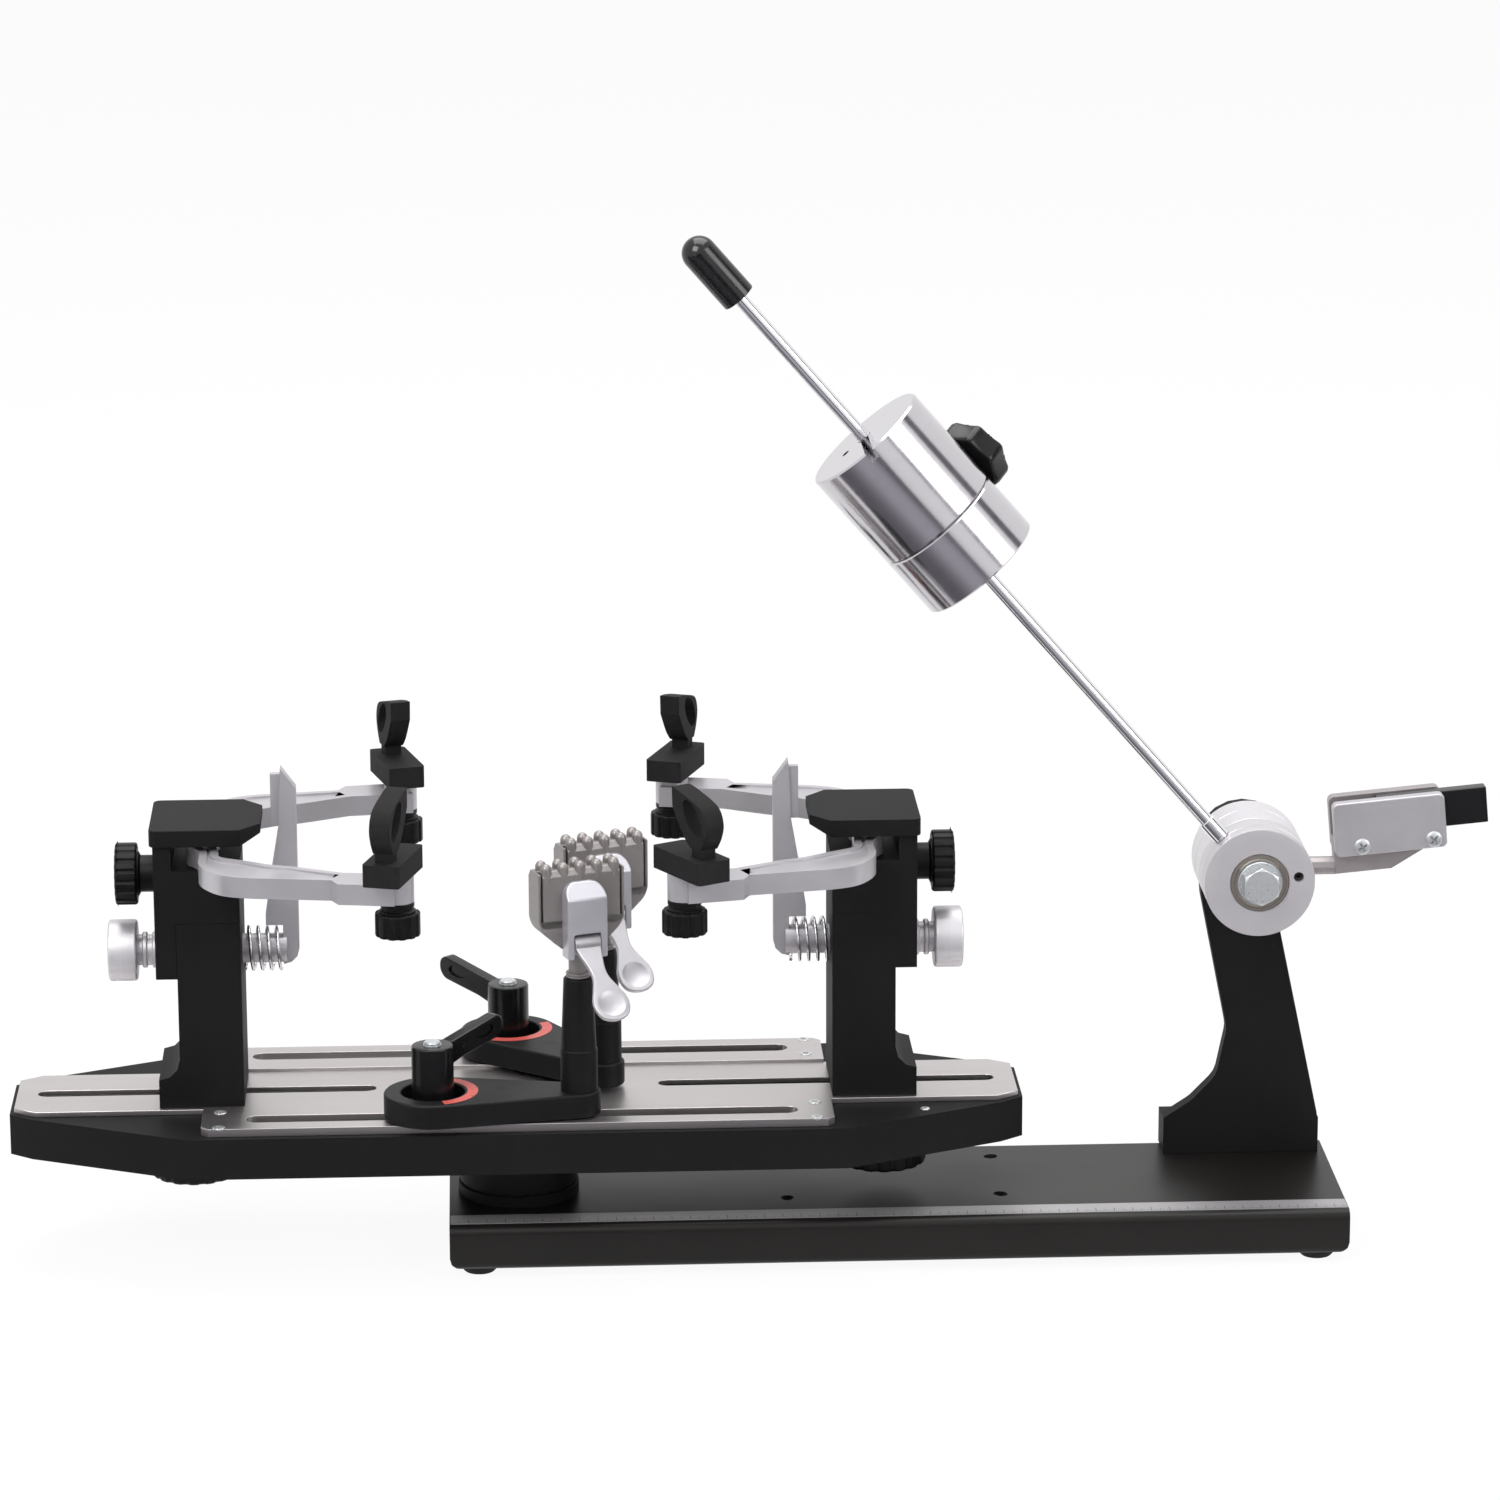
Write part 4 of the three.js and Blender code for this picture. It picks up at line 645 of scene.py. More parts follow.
def turned_metal(name, colour, roughness, matrix, depth=0.004, metallic=0.5):
    """Metal turned on a lathe: fine rings round an axis, which is the matrix's own Z."""
    finish = Finish(name, metallic=metallic)
    spot = finish.mapped(tuple(matrix.translation), tuple(matrix.to_euler()))
    x, y, z = finish.split(spot)
    radius = (x * x + y * y).root()
    rings = finish.noise(TURNED_LINES, 2.0, 0.7, finish.joined(radius, z, 0.0))
    broad = finish.noise(TURNED_LINES / 9, 2.0, 0.5, finish.joined(radius, z, 0.3))
    clouds = finish.noise(25.0, 3.0)
    shade = rings * 0.45 + broad * 0.3 + clouds * 0.25
    finish.set(
        base_color=finish.mix(shade, rgba(colour, 0.84), rgba(colour, 1.1)),
        roughness=roughness + (shade - 0.5) * 0.2,
    )
    return finish.bumped(rings, depth)


def smooth_metal(name, colour, roughness):
    """Plated or drawn metal with faint smears."""
    finish = Finish(name, metallic=1.0)
    smears = finish.noise(60.0, 4.0, 0.6)
    fine = finish.noise(1200.0, 2.0)
    finish.set(
        base_color=finish.mix(smears, rgba(colour, 0.9), rgba(colour, 1.05)),
        roughness=roughness + (smears - 0.5) * 0.08,
    )
    return finish.bumped(fine, 0.003)


def printed(name, colour, under, share):
    """Print or foil on a sticker, worn through in specks."""
    finish = Finish(name, specular=0.4)
    specks = finish.stepped(finish.noise(900.0, 3.0, 0.7), 0.6 - share, 0.7 - share)
    finish.set(base_color=finish.mix(specks, rgba(colour), rgba(under)), roughness=specks * 0.15 + 0.4)
    return finish.bumped(specks, 0.01)


def colour_setting(name, description, *default):
    return FloatVectorProperty(
        name=name, description=description, default=default, size=3, subtype="COLOR", min=0, max=1,
    )


def length_setting(name, description, default, low, high):
    """A length, given in millimetres."""
    return FloatProperty(
        name=name, description=description, default=default * MM, unit="LENGTH", min=low * MM, max=high * MM,
    )


def share_setting(name, description, default):
    return FloatProperty(name=name, description=description, default=default, min=0, max=1, subtype="FACTOR")


def power_setting(name, description, default):
    return FloatProperty(name=name, description=description, default=default, min=0, max=500, unit="POWER")


class StringerFinishes(bpy.types.PropertyGroup):
    """Colours of the machine, as a renderer reads them."""

    paint: colour_setting("Base paint", "Satin powder coat of the base and the post", 0.0085, 0.0075, 0.007)
    casting: colour_setting("Casting coat", "Coat of the casting and the towers", 0.0075, 0.0072, 0.0078)
    plastic: colour_setting("Knob plastic", "Moulded knobs, levers and clamp bases", 0.005, 0.005, 0.0055)
    rubber: colour_setting("Rubber", "Supports, feet and the grip of the rod", 0.014, 0.013, 0.0135)
    steel: colour_setting("Deck steel", "Brushed rail and deck plates", 0.54, 0.51, 0.51)
    bright: colour_setting("Turned metal", "Weights, disc, drum and holder knobs", 0.62, 0.6, 0.63)
    satin: colour_setting("Cast aluminium", "Side arms, blades and gripper plates", 0.47, 0.455, 0.48)
    jaw: colour_setting("Jaw metal", "Warm grey metal of the clamp jaws", 0.28, 0.26, 0.255)
    chrome: colour_setting("Chrome", "Rod, springs and bolts", 0.72, 0.71, 0.73)
    signal: colour_setting("Ring print", "Red rings on the clamp bases", 0.56, 0.09, 0.075)


class StringerSizes(bpy.types.PropertyGroup):
    """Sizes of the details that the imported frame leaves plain."""

    casting_edge: length_setting("Casting edge", "Radius on the edges of castings", 0.7, 0.1, 2)
    sheet_edge: length_setting("Sheet edge", "Radius on the edges of plates", 0.35, 0.05, 1)
    knob_flutes: IntProperty(
        name="Knob flutes", description="Flutes round an adjuster knob", default=18, min=8, max=40,
    )
    spring_turns: IntProperty(
        name="Spring turns", description="Turns of each holder spring", default=4, min=2, max=8,
    )
    wire_radius: length_setting("Spring wire", "Radius of the holder spring's wire", 0.9, 0.4, 1.2)
    tick_step: length_setting("Ruler step", "Distance between two lines of the ruler", 2, 1, 10)


def looks():
    return bpy.context.scene.stringer_finishes


def sizes():
    return bpy.context.scene.stringer_sizes


def finish_of(name, make, colour, *values, **settings):
    """What gives the material of that name, made the first time that it is asked for."""
    def give():
        tone = getattr(looks(), colour) if isinstance(colour, str) else colour
        return bpy.data.materials.get(name) or make(name, tone, *values, **settings)
    return give


# Tones that no setting holds
DISC_TONE = (0.54, 0.52, 0.545)
YOKE_TONE = (0.5, 0.49, 0.53)
ZINC_TONE = (0.6, 0.62, 0.63)
BEARING_TONE = (0.5, 0.46, 0.4)
GRIPPER_TONE = (0.34, 0.31, 0.315)
OXIDE_TONE = (0.02, 0.02, 0.021)
UNDER_PRINT_TONE = (0.05, 0.04, 0.04)

base_paint = finish_of("base_powder_coat", painted, "paint", 0.36, 1100.0, 0.015, specular=0.22)
casting_paint = finish_of("casting_powder_coat", painted, "casting", 0.6, 1300.0, 0.02, specular=0.12)
knob_plastic = finish_of("knob_plastic", moulded, "plastic", 0.38, specular=0.18)
clamp_plastic = finish_of("clamp_coat", moulded, "plastic", 0.45, specular=0.2, depth=0.03)
gloss_plastic = finish_of("gloss_plastic", moulded, "plastic", 0.2, specular=0.3, depth=0.004)
support_rubber = finish_of("support_rubber", moulded, "rubber", 0.68, specular=0.12, depth=0.05)
deck_steel = finish_of("deck_brushed_steel", brushed_metal, "steel", 0.36)
satin_aluminium = finish_of("satin_aluminium", cast_metal, "satin", 0.36)
yoke_metal = finish_of("yoke_casting", cast_metal, YOKE_TONE, 0.34, grain=1400.0, depth=0.015)
silver_casting = finish_of("silver_die_casting", cast_metal, "satin", 0.36, grain=1400.0, depth=0.015)
jaw_metal = finish_of("jaw_casting", cast_metal, "jaw", 0.4, grain=700.0)
chromed = finish_of("chrome", smooth_metal, "chrome", 0.12)
zinc_plate = finish_of("zinc_plate", cast_metal, ZINC_TONE, 0.3, metallic=0.7, grain=500.0, depth=0.004)
spring_wire = finish_of("spring_wire", smooth_metal, "chrome", 0.2)
bearing_steel = finish_of("bearing_steel", smooth_metal, BEARING_TONE, 0.25)
grip_plastic = finish_of("grip_plastic", moulded, "plastic", 0.14, specular=0.5, depth=0.002)
dark_casting = finish_of("gripper_casting", cast_metal, GRIPPER_TONE, 0.4)
dark_steel = finish_of("black_oxide_steel", cast_metal, OXIDE_TONE, 0.45, metallic=0.3)
ring_print = finish_of("ring_print", printed, "signal", UNDER_PRINT_TONE, 0.02)


def ruler_print():
    """Silver foil with dark lines along the front edge: short ones, longer fives and tens."""
    name = "ruler_foil"
    if name in bpy.data.materials:
        return bpy.data.materials[name]
    finish = Finish(name, metallic=0.55)
    x, y, _ = finish.split(finish.mapped(tuple(stand(BASE_LEFT, RULER_FRONT).translation)))
    reach = y / MM
    marks = None
    for step, length, width in ((1, 3.2, 0.16), (5, 4.6, 0.05), (10, 6.2, 0.035)):
        phase = (x / sizes().tick_step / step * 2).fraction()
        line = (1 - (phase > width)) * (1 - (reach > length)) * (reach > 0.7)
        marks = line if marks is None else marks.math("MAXIMUM", marks, line)
    clouds = finish.noise(30.0, 3.0)
    silver = finish.mix(clouds, rgba((0.3, 0.29, 0.3)), rgba((0.42, 0.41, 0.42)))
    finish.set(
        base_color=finish.mix(marks, silver, rgba((0.02, 0.02, 0.022))),
        roughness=clouds * 0.1 + 0.36 + marks * 0.15,
        metallic=0.55 - marks * 0.55,
    )
    return finish.bumped(marks, 0.01)


# Shapes that several pieces share


def sunk(piece, facing, rim, depth):
    """Insets the broadest flat face that looks one way, and sinks its middle."""
    only(piece)
    bpy.ops.object.mode_set(mode="EDIT")
    mesh = bmesh.from_edit_mesh(piece.data)
    bpy.ops.mesh.select_mode(type="FACE")
    bpy.ops.mesh.select_all(action="DESELECT")
    faces = [face for face in mesh.faces if face.normal.dot(Vector(facing)) > 0.99]
    max(faces, key=lambda face: face.calc_area()).select_set(True)
    bmesh.update_edit_mesh(piece.data)
    bpy.ops.mesh.inset(thickness=rim * MM)
    bpy.ops.mesh.inset(thickness=0.3 * MM, depth=-depth * MM)
    bpy.ops.object.mode_set(mode="OBJECT")
    return piece


def cross_screw(name, radius, dome, turn=20, flat=False):
    """A screw head with a cross recess, looking up, its underside at zero."""
    angles = [math.radians(a) for a in range(0, 90, 15)]
    cap = [(radius * math.cos(a), dome * (0.35 + 0.65 * math.sin(a))) for a in angles]
    if flat:
        cap = [(radius, dome * 0.5), (radius * 0.93, dome)]
    head = turned(name, [(0, -0.8), (radius, -0.8), *cap, (0, dome)], 40)
    for extra in (0, 90):
        reach, half = 0.55 * radius, 0.12 * radius
        slot = box("cross", -reach, reach, -half, half, dome - 0.45 * radius, dome + 1)
        carved(head, settle(slot, local(turn=turn + extra)))
    return head


def knob(name, radius, depth, count, length, rim, sink):
    """A fluted knob that looks down from zero, with a dished face."""
    piece = plate(name, fluted(radius, depth, count), 0, length)
    rounded(piece, rim, 3, 55)
    return sunk(piece, (0, 0, -1), radius * 0.2, sink)


def hexagon(name, across, low, high, dome):
    """A hexagon head whose corners are turned down at its top."""
    radius = across / math.sqrt(3)
    piece = rod(name, radius, low, high, sides=6)
    wide = radius + 1
    cap = [(0, low - 1), (wide, low - 1), (wide, high - dome), (across / 2 * 0.97, high), (0, high)]
    applied(piece, "BOOLEAN", operation="INTERSECT", object=turned("cap", cap, 96), solver="EXACT")
    bpy.data.objects.remove(bpy.data.objects["cap"])
    return rounded(piece, 0.25, 2, 20)


def steps_of(shares, width, height, steps):
    return spline([(a * width, b * height, 0) for a, b in shares], steps)


# Base


class STRINGER_OT_base(bpy.types.Operator):
    """Base channel of bent sheet, with the ruler along its front edge"""

    bl_idname = "stringer.base"
    bl_label = "Base channel"

    def execute(self, context):
        shell = rounded(copied("base_channel", "base_shell"), sizes().sheet_edge / MM)
        for x, y in BASE_HOLES:
            carved(shell, settle(rod("hole", BASE_HOLE_RADIUS, 20, 40, x, y), stand()))
        fitted(shell, base_paint(), "base", "blackPaint", "base_channel")
        corners = rectangle(BASE_LEFT + 0.6, BASE_RIGHT - 0.6, RULER_FRONT, RULER_FRONT + RULER_WIDTH, 1)
        strip = settle(plate("ruler_strip", corners, BASE_TOP, BASE_TOP + 0.25), stand())
        fitted(strip, ruler_print(), "base", "aluminium")
        return {"FINISHED"}


class STRINGER_OT_feet(bpy.types.Operator):
    """Four screwed rubber feet"""

    bl_idname = "stringer.feet"
    bl_label = "Feet"

    def execute(self, context):
        profile = [
            (0, 1.6), (3.4, 1.6), (3.8, 0), (8, 0), (8.5, 0.4), (11.9, 4.5), (12.2, 4.9), (12, 5), (0, 5),
        ]
        for node in [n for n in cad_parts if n.startswith("foot_")]:
            low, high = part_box(node)
            place = Matrix.Translation(((low.x + high.x) / 2, (low.y + high.y) / 2, 0))
            pad = settle(turned(node + "_pad", profile, 64), place)
            fitted(pad, support_rubber(), "base", "blackRubber", node)
        return {"FINISHED"}


class STRINGER_OT_post(bpy.types.Operator):
    """Tension post with its foot block"""

    bl_idname = "stringer.post"
    bl_label = "Tension post"

    def execute(self, context):
        dressed("tension_post", "post_plate", 0.7, 3, casting_paint(), "base", "blackPaint")
        return {"FINISHED"}


class STRINGER_OT_hub(bpy.types.Operator):
    """Pivot hub: flange, column, spindle and its nut"""

    bl_idname = "stringer.hub"
    bl_label = "Pivot hub"

    def execute(self, context):
        profile = [
            (0, 30), (33, 30), (33, 35.8), (32.5, 36.3), (31.3, 36.3), (31.3, 37), (32, 37.4), (32, 63.2),
            (31.5, 63.7), (10, 63.7), (10, 66), (6, 66), (6, 85), (5.2, 85.6), (0, 85.6),
        ]
        column = turned("hub_column", profile, 96)
        united(column, hexagon("hub_nut", HEX_ACROSS, 73.6, 82.6, HEX_DOME))
        fitted(settle(column, stand()), casting_paint(), "base", "blackPaint", "pivot_hub")
        return {"FINISHED"}


# Turntable


class STRINGER_OT_casting(bpy.types.Operator):
    """Turntable casting with rounded edges and one small screw"""

    bl_idname = "stringer.casting"
    bl_label = "Turntable casting"

    def execute(self, context):
        edge = sizes().casting_edge / MM
        dressed("turntable_frame", "casting", edge, 3, casting_paint(), "turntable", "blackCast")
        screw = cross_screw("casting_screw", 2.6, 1.0)
        fitted(settle(screw, stand(*CASTING_SCREW, CASTING_TOP)), zinc_plate(), "turntable", "steel")
        return {"FINISHED"}


class STRINGER_OT_decks(bpy.types.Operator):
    """Centre rail and deck plates, with their countersunk screws"""

    bl_idname = "stringer.decks"
    bl_label = "Rail and decks"

    def execute(self, context):
        edge = sizes().sheet_edge / MM
        for node, name in (
            ("center_rail", "rail_strip"),
            ("front_deck_plate", "front_deck"),
            ("rear_deck_plate", "rear_deck"),
        ):
            dressed(node, name, edge, 2, deck_steel(), "turntable", "steel")
        first = cross_screw("deck_screw", 3.4, 0.35, 30, flat=True)
        for i, x in enumerate(DECK_SCREWS_X):
            for k, y in enumerate(DECK_SCREWS_Y):
                other = settle(twin(first, f"deck_screw_{i}_{k}"), stand(x, y, DECK_TOP))
                fitted(other, zinc_plate(), "turntable", "steel")
        bpy.data.objects.remove(first)
        return {"FINISHED"}


# Towers


class STRINGER_OT_towers(bpy.types.Operator):
    """Tower columns and the heads that hold the side arms"""

    bl_idname = "stringer.towers"
    bl_label = "Towers"

    def execute(self, context):
        for side in TOWER_FACES:
            for node, edge in (("column", 0.9), ("head", 0.8)):
                node = f"{side}_tower_{node}"
                dressed(node, node + "_casting", edge, 3, casting_paint(), side + "_tower", "blackCast")
        return {"FINISHED"}


class STRINGER_OT_holders(bpy.types.Operator):
    """Holder blades on their shafts"""

    bl_idname = "stringer.holders"
    bl_label = "Holder blades"

    def execute(self, context):
        for side in TOWER_FACES:
            node = side + "_holder_blade"
            dressed(node, node + "_casting", 0.6, 3, silver_casting(), node, "castAluminium")
        return {"FINISHED"}


class STRINGER_OT_springs(bpy.types.Operator):
    """Springs between the towers and the holder blades"""

    bl_idname = "stringer.springs"
    bl_label = "Holder springs"

    def execute(self, context):
        turns = sizes().spring_turns
        for side in TOWER_FACES:
            only(None)
            bpy.ops.mesh.primitive_circle_add(
                vertices=WIRE_SIDES,
                radius=sizes().wire_radius,
                location=(SPRING_RADIUS * MM, 0, 0),
                rotation=(math.radians(90), 0, 0),
            )
            spring = added(side + "_spring_coil")
            pitch = (SPRING_END - SPRING_START) * MM / turns
            applied(
                spring, "SCREW", angle=2 * math.pi, screw_offset=pitch, iterations=turns, steps=COIL_STEPS,
                render_steps=COIL_STEPS, use_merge_vertices=True,
            )
            only(spring)
            bpy.ops.object.mode_set(mode="EDIT")
            bpy.ops.mesh.select_all(action="SELECT")
            bpy.ops.mesh.remove_doubles(threshold=1e-7)
            bpy.ops.mesh.select_all(action="SELECT")
            bpy.ops.mesh.fill_holes(sides=0)
            closed_up(spring)
            settle(spring, tower_stand(side) @ local(SPRING_START, 0, HOLDER_Z) @ ALONG_X)
            shaded(spring)
            spring.data.materials.append(spring_wire())
            ends = [tower_stand(side) @ (Vector((u, 0, HOLDER_Z)) * MM) for u in (SPRING_START, SPRING_END)]
            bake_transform(spring)
            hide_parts(side + "_holder_spring")
        return {"FINISHED"}


class STRINGER_OT_adjusters(bpy.types.Operator):
    """Fluted knobs that spread the side arms"""

    bl_idname = "stringer.adjusters"
    bl_label = "Adjuster knobs"

    def execute(self, context):
        for side in TOWER_FACES:
            node = side + "_adjuster_knob"
            piece = knob(node + "_grip", 16.8, 1.0, sizes().knob_flutes, length=11.9, rim=1.6, sink=1.2)
            collar = [(0, 11), (12, 11), (12, 12.6), (10, 13.6), (10, 20.7), (9.4, 21.3), (0, 21.3)]
            neck = turned("neck", collar)
            screw = turned("screw", [(0, 21), (4, 21), (4, 47), (3.4, 47.6), (0, 47.6)], 32)
            united(piece, neck, screw)
            settle(piece, tower_stand(side) @ local(ADJUSTER_KNOB_X, 0, ADJUSTER_Z) @ ALONG_X)
            fitted(piece, knob_plastic(), node, "blackPlastic", node)
        return {"FINISHED"}


class STRINGER_OT_holder_knobs(bpy.types.Operator):
    """Bright holder knobs with their banded sleeves"""

    bl_idname = "stringer.holder_knobs"
    bl_label = "Holder knobs"

    def execute(self, context):
        profile = [
            (0, 0.8), (11, 0.8), (12, 0), (15.4, 0), (16.3, 0.5), (16.7, 1.4), (16.7, 14.2), (16.2, 15.1),
            (15.4, 15.5), (8.4, 15.5), (8.4, 18.1), (9.3, 18.2), (9.8, 18.7), (9.8, 20.3), (9.3, 20.8),
            (8.4, 20.9), (8.4, 23.4), (9.3, 23.5), (9.8, 24), (9.8, 25.6), (9.3, 26.1), (4, 26.1),
            (4, 66), (3.5, 66.2), (0, 66.2),
        ]
        for side in TOWER_FACES:
            node = side + "_holder_knob"
            place = tower_stand(side) @ local(HOLDER_KNOB_X, 0, HOLDER_Z) @ ALONG_X
            piece = settle(turned(node + "_turning", profile, 96), place)
            metal = turned_metal(node + "_metal", looks().bright, 0.4, place)
            fitted(piece, metal, node, "aluminium", node)
        return {"FINISHED"}


class STRINGER_OT_lock_knobs(bpy.types.Operator):
    """Knobs below the towers that lock them on the rail"""

    bl_idname = "stringer.lock_knobs"
    bl_label = "Lock knobs"

    def execute(self, context):
        for side in TOWER_FACES:
            node = side + "_lock_knob"
            piece = knob(node + "_grip", 24, 1.1, 16, length=20.7, rim=2.0, sink=1.8)
            united(piece, turned("stud", [(0, 20), (4, 20), (4, 65.4), (3.4, 66.2), (0, 66.2)], 32))
            settle(piece, tower_stand(side) @ local(LOCK_KNOB_X, 0, LOCK_KNOB_Z))
            fitted(piece, knob_plastic(), node, "blackPlastic", node)
        return {"FINISHED"}


class STRINGER_OT_side_arms(bpy.types.Operator):
    """Curved side arms with a sunk top and a round seat for each support"""

    bl_idname = "stringer.side_arms"
    bl_label = "Side arms"

    def execute(self, context):
        outer = steps_of(ARM_OUTER, ARM_REACH, ARM_SPREAD, ARM_STEPS)
        tip = [(a * ARM_REACH, b * ARM_SPREAD, 0) for a, b in ARM_TIP]
        inner = steps_of(ARM_INNER, ARM_REACH, ARM_SPREAD, ARM_STEPS)
        for corner in SUPPORT_TURNS:
            way = arm_side(corner)
            node = corner + "_side_arm"
            rows = [
                [(u - ARM_PIN[0], way * (v - ARM_PIN[1])) for u, v, _ in row]
                for row in (outer, tip, inner)
            ]
            plan = rows[0] + rows[1] + rows[2]
            groove = offset(rows[0][2:], -ARM_RIM * way) + offset(rows[2][:-2], -ARM_RIM * way)
            arm = plate(node + "_casting", plan, ARM_BOTTOM, ARM_TOP)
            carved(arm, plate("groove", groove, ARM_TOP - 1, ARM_TOP + 5))
            seat = (SUPPORT_PLACE[0] - ARM_PIN[0], way * (SUPPORT_PLACE[1] - ARM_PIN[1]))
            pad = rod("seat", SEAT_RADIUS, ARM_BOTTOM, ARM_TIP_TOP, *seat, 64)
            united(arm, pad, rod("root", ROOT_RADIUS, ARM_BOTTOM, ARM_TOP, 0, 0, 64))
            settle(rounded(arm, 0.8, 3, 40), arm_stand(corner))
            fitted(arm, silver_casting(), node, "castAluminium", node)
        return {"FINISHED"}


class STRINGER_OT_supports(bpy.types.Operator):
    """Rubber supports: a block, a neck and a leaning loop in one moulding"""

    bl_idname = "stringer.supports"
    bl_label = "Supports"

    def execute(self, context):
        base = (SUPPORT_NECK, SUPPORT_NECK_TOP)
        width, half = SUPPORT_NECK_SIZE
        loop = [
            (base[0] + a, base[1] + b)
            for shares in (LOOP_OUTER, LOOP_INNER)
            for a, b, _ in steps_of(shares, LOOP_SIZE, LOOP_SIZE, 24)
        ]
        centre = [start + share * LOOP_SIZE for start, share in zip(base, LOOP_HOLE_CENTRE)]
        ring = []
        for i in range(40):
            a = math.radians(9 * i)
            x, y = LOOP_HOLE_HALVES[0] * math.cos(a), LOOP_HOLE_HALVES[1] * math.sin(a)
            ring.append((centre[0] + (x - y) * math.sqrt(0.5), centre[1] + (x + y) * math.sqrt(0.5)))
        for corner in SUPPORT_TURNS:
            node = corner + "_support"
            block = plate(node + "_moulding", rectangle(*SUPPORT_BLOCK, 2), *SUPPORT_BLOCK_Z)
            neck = plate("neck", rectangle(base[0], base[0] + width, -half, half, 1), 248, 257.5)
            curl = carved(plate("loop", loop, -5.5, 5.5, "Y"), plate("hole", ring, -8, 8, "Y"))
            united(block, neck, curl)
            settle(rounded(block, 1.1, 3, 38), support_stand(corner))
            fitted(block, support_rubber(), node, "blackRubber", node)
        return {"FINISHED"}


class STRINGER_OT_support_knobs(bpy.types.Operator):
    """Small fluted knobs under the supports"""

    bl_idname = "stringer.support_knobs"
    bl_label = "Support knobs"

    def execute(self, context):
        collar = [
            (0, 12), (9.6, 12), (9.6, 14), (8.6, 14.6), (8.6, 16), (9, 16.2), (9, 18.1), (8.6, 18.5),
            (3, 18.5), (3, 41.3), (2.5, 41.5), (0, 41.5),
        ]
        for corner in SUPPORT_TURNS:
            node = corner + "_support_knob"
            piece = knob(node + "_grip", 12, 1.0, 12, length=13, rim=1.2, sink=1.0)
            united(piece, turned("collar", collar, 64))
            settle(piece, support_stand(corner) @ local(z=SUPPORT_KNOB_Z))
            fitted(piece, knob_plastic(), node, "blackPlastic", node)
        return {"FINISHED"}


# String clamps


class STRINGER_OT_clamp_bases(bpy.types.Operator):
    """Clamp bases with their tapered posts, bolts and red arcs"""

    bl_idname = "stringer.clamp_bases"
    bl_label = "Clamp bases"

    def execute(self, context):
        tangent = math.degrees(math.acos((CLAMP_HUB_RADIUS - CLAMP_POST_RADIUS) / CLAMP_REACH))
        outline = arc(CLAMP_HUB_RADIUS, tangent, 360 - tangent, 60)
        outline += arc(CLAMP_POST_RADIUS, -tangent, tangent, 28, CLAMP_REACH)
        post = [
            (0, 93), (10, 93), (10, 127.4), (9.6, 128), (9.5, 128.2), (7.9, 166.8), (7.4, 167.5),
            (5.3, 167.5), (5.3, 133), (0, 131.5),
        ]
        bolt = [
            (0, 83), (5, 83), (5, 97.7), (12.1, 97.7), (12.4, 98), (12.4, 98.9), (12.1, 99.2), (5, 99.2),
            (5, 131.3), (4.5, 131.3), (4.5, 132.4), (3.9, 133.1), (0, 133.1),
        ]
        recess = [
            (0, RECESS_FLOOR), (17.3, RECESS_FLOOR), (17.3, CLAMP_TOP - 0.5), (17.8, CLAMP_TOP + 0.1),
            (17.8, CLAMP_TOP + 3), (0, CLAMP_TOP + 3),
        ]
        sector = arc(RING_OUTER, -RING_REACH, RING_REACH, 48) + arc(RING_INNER, RING_REACH, -RING_REACH, 48)
        for row in CLAMP_HUBS:
            node = row + "_clamp_base"
            base = rounded(plate(node + "_casting", outline, CLAMP_BOTTOM, CLAMP_TOP), 1.4, 3, 50)
            carved(base, turned("recess", recess, 96), rod("drill", DRILL_RADIUS, 80, 120))
            united(base, settle(turned("post", post, 64), local(CLAMP_REACH)))
            settle(base, clamp_stand(row))
            fitted(base, clamp_plastic(), node, "blackPlastic", node)
            node = row + "_clamp_bolt"
            head = rounded(box("head", -10, 10, -10, 10, 81.2, 86.2), 0.6)
            stud = settle(united(turned(node + "_stud", bolt, 64), head), stand(*CLAMP_HUBS[row]))
            fitted(stud, zinc_plate(), node, "steel", node)
            ring = plate(row + "_ring_print", sector, CLAMP_TOP - 0.02, CLAMP_TOP + 0.15)
            fitted(settle(ring, clamp_stand(row)), ring_print(), row + "_clamp_base", "blackPlastic")
        return {"FINISHED"}


class STRINGER_OT_clamp_levers(bpy.types.Operator):
    """Levers that lock the clamp bases, with their cross screws"""

    bl_idname = "stringer.clamp_levers"
    bl_label = "Clamp levers"

    def execute(self, context):
        hub = [(0, 99.5), (10.5, 99.5), (11.3, 100.3), (11.3, 129.8), (10.9, 130.7), (10.1, 131), (0, 131)]
        side = [
            (0, 118), (11.3, 118), (20, 120.6), (50, 126, 6), (50, 139, 6), (22, 133.2), (11.3, 131),
            (0, 131),
        ]
        hollow = [(0, -1.2), (7.5, -1.2), (7.5, 1.2), (0, 1.2)]
        for row in CLAMP_HUBS:
            node = row + "_clamp_base_lever"
            arm = rounded(plate("lever_arm", side, -4, 4, "Y"), 1.3, 3, 40)
            for y in (-4, 4):
                spot = local(35, y, 131.4) @ ALONG_Y @ Matrix.Diagonal((1, 0.47, 1, 1))
                carved(arm, settle(turned("dimple", hollow, 48), spot))
            piece = united(turned(node + "_moulding", hub, 72), arm)
            carved(piece, rod("drill", DRILL_RADIUS, 90, 140))
            place = stand(*CLAMP_HUBS[row], 0, LEVER_TURNS[row])
            fitted(settle(piece, place), gloss_plastic(), node, "blackPlastic", node)
            screw = settle(cross_screw(row + "_lever_screw", 4.4, 1.6), place @ local(z=131.4))
            fitted(screw, zinc_plate(), row + "_clamp_bolt", "steel")
        return {"FINISHED"}


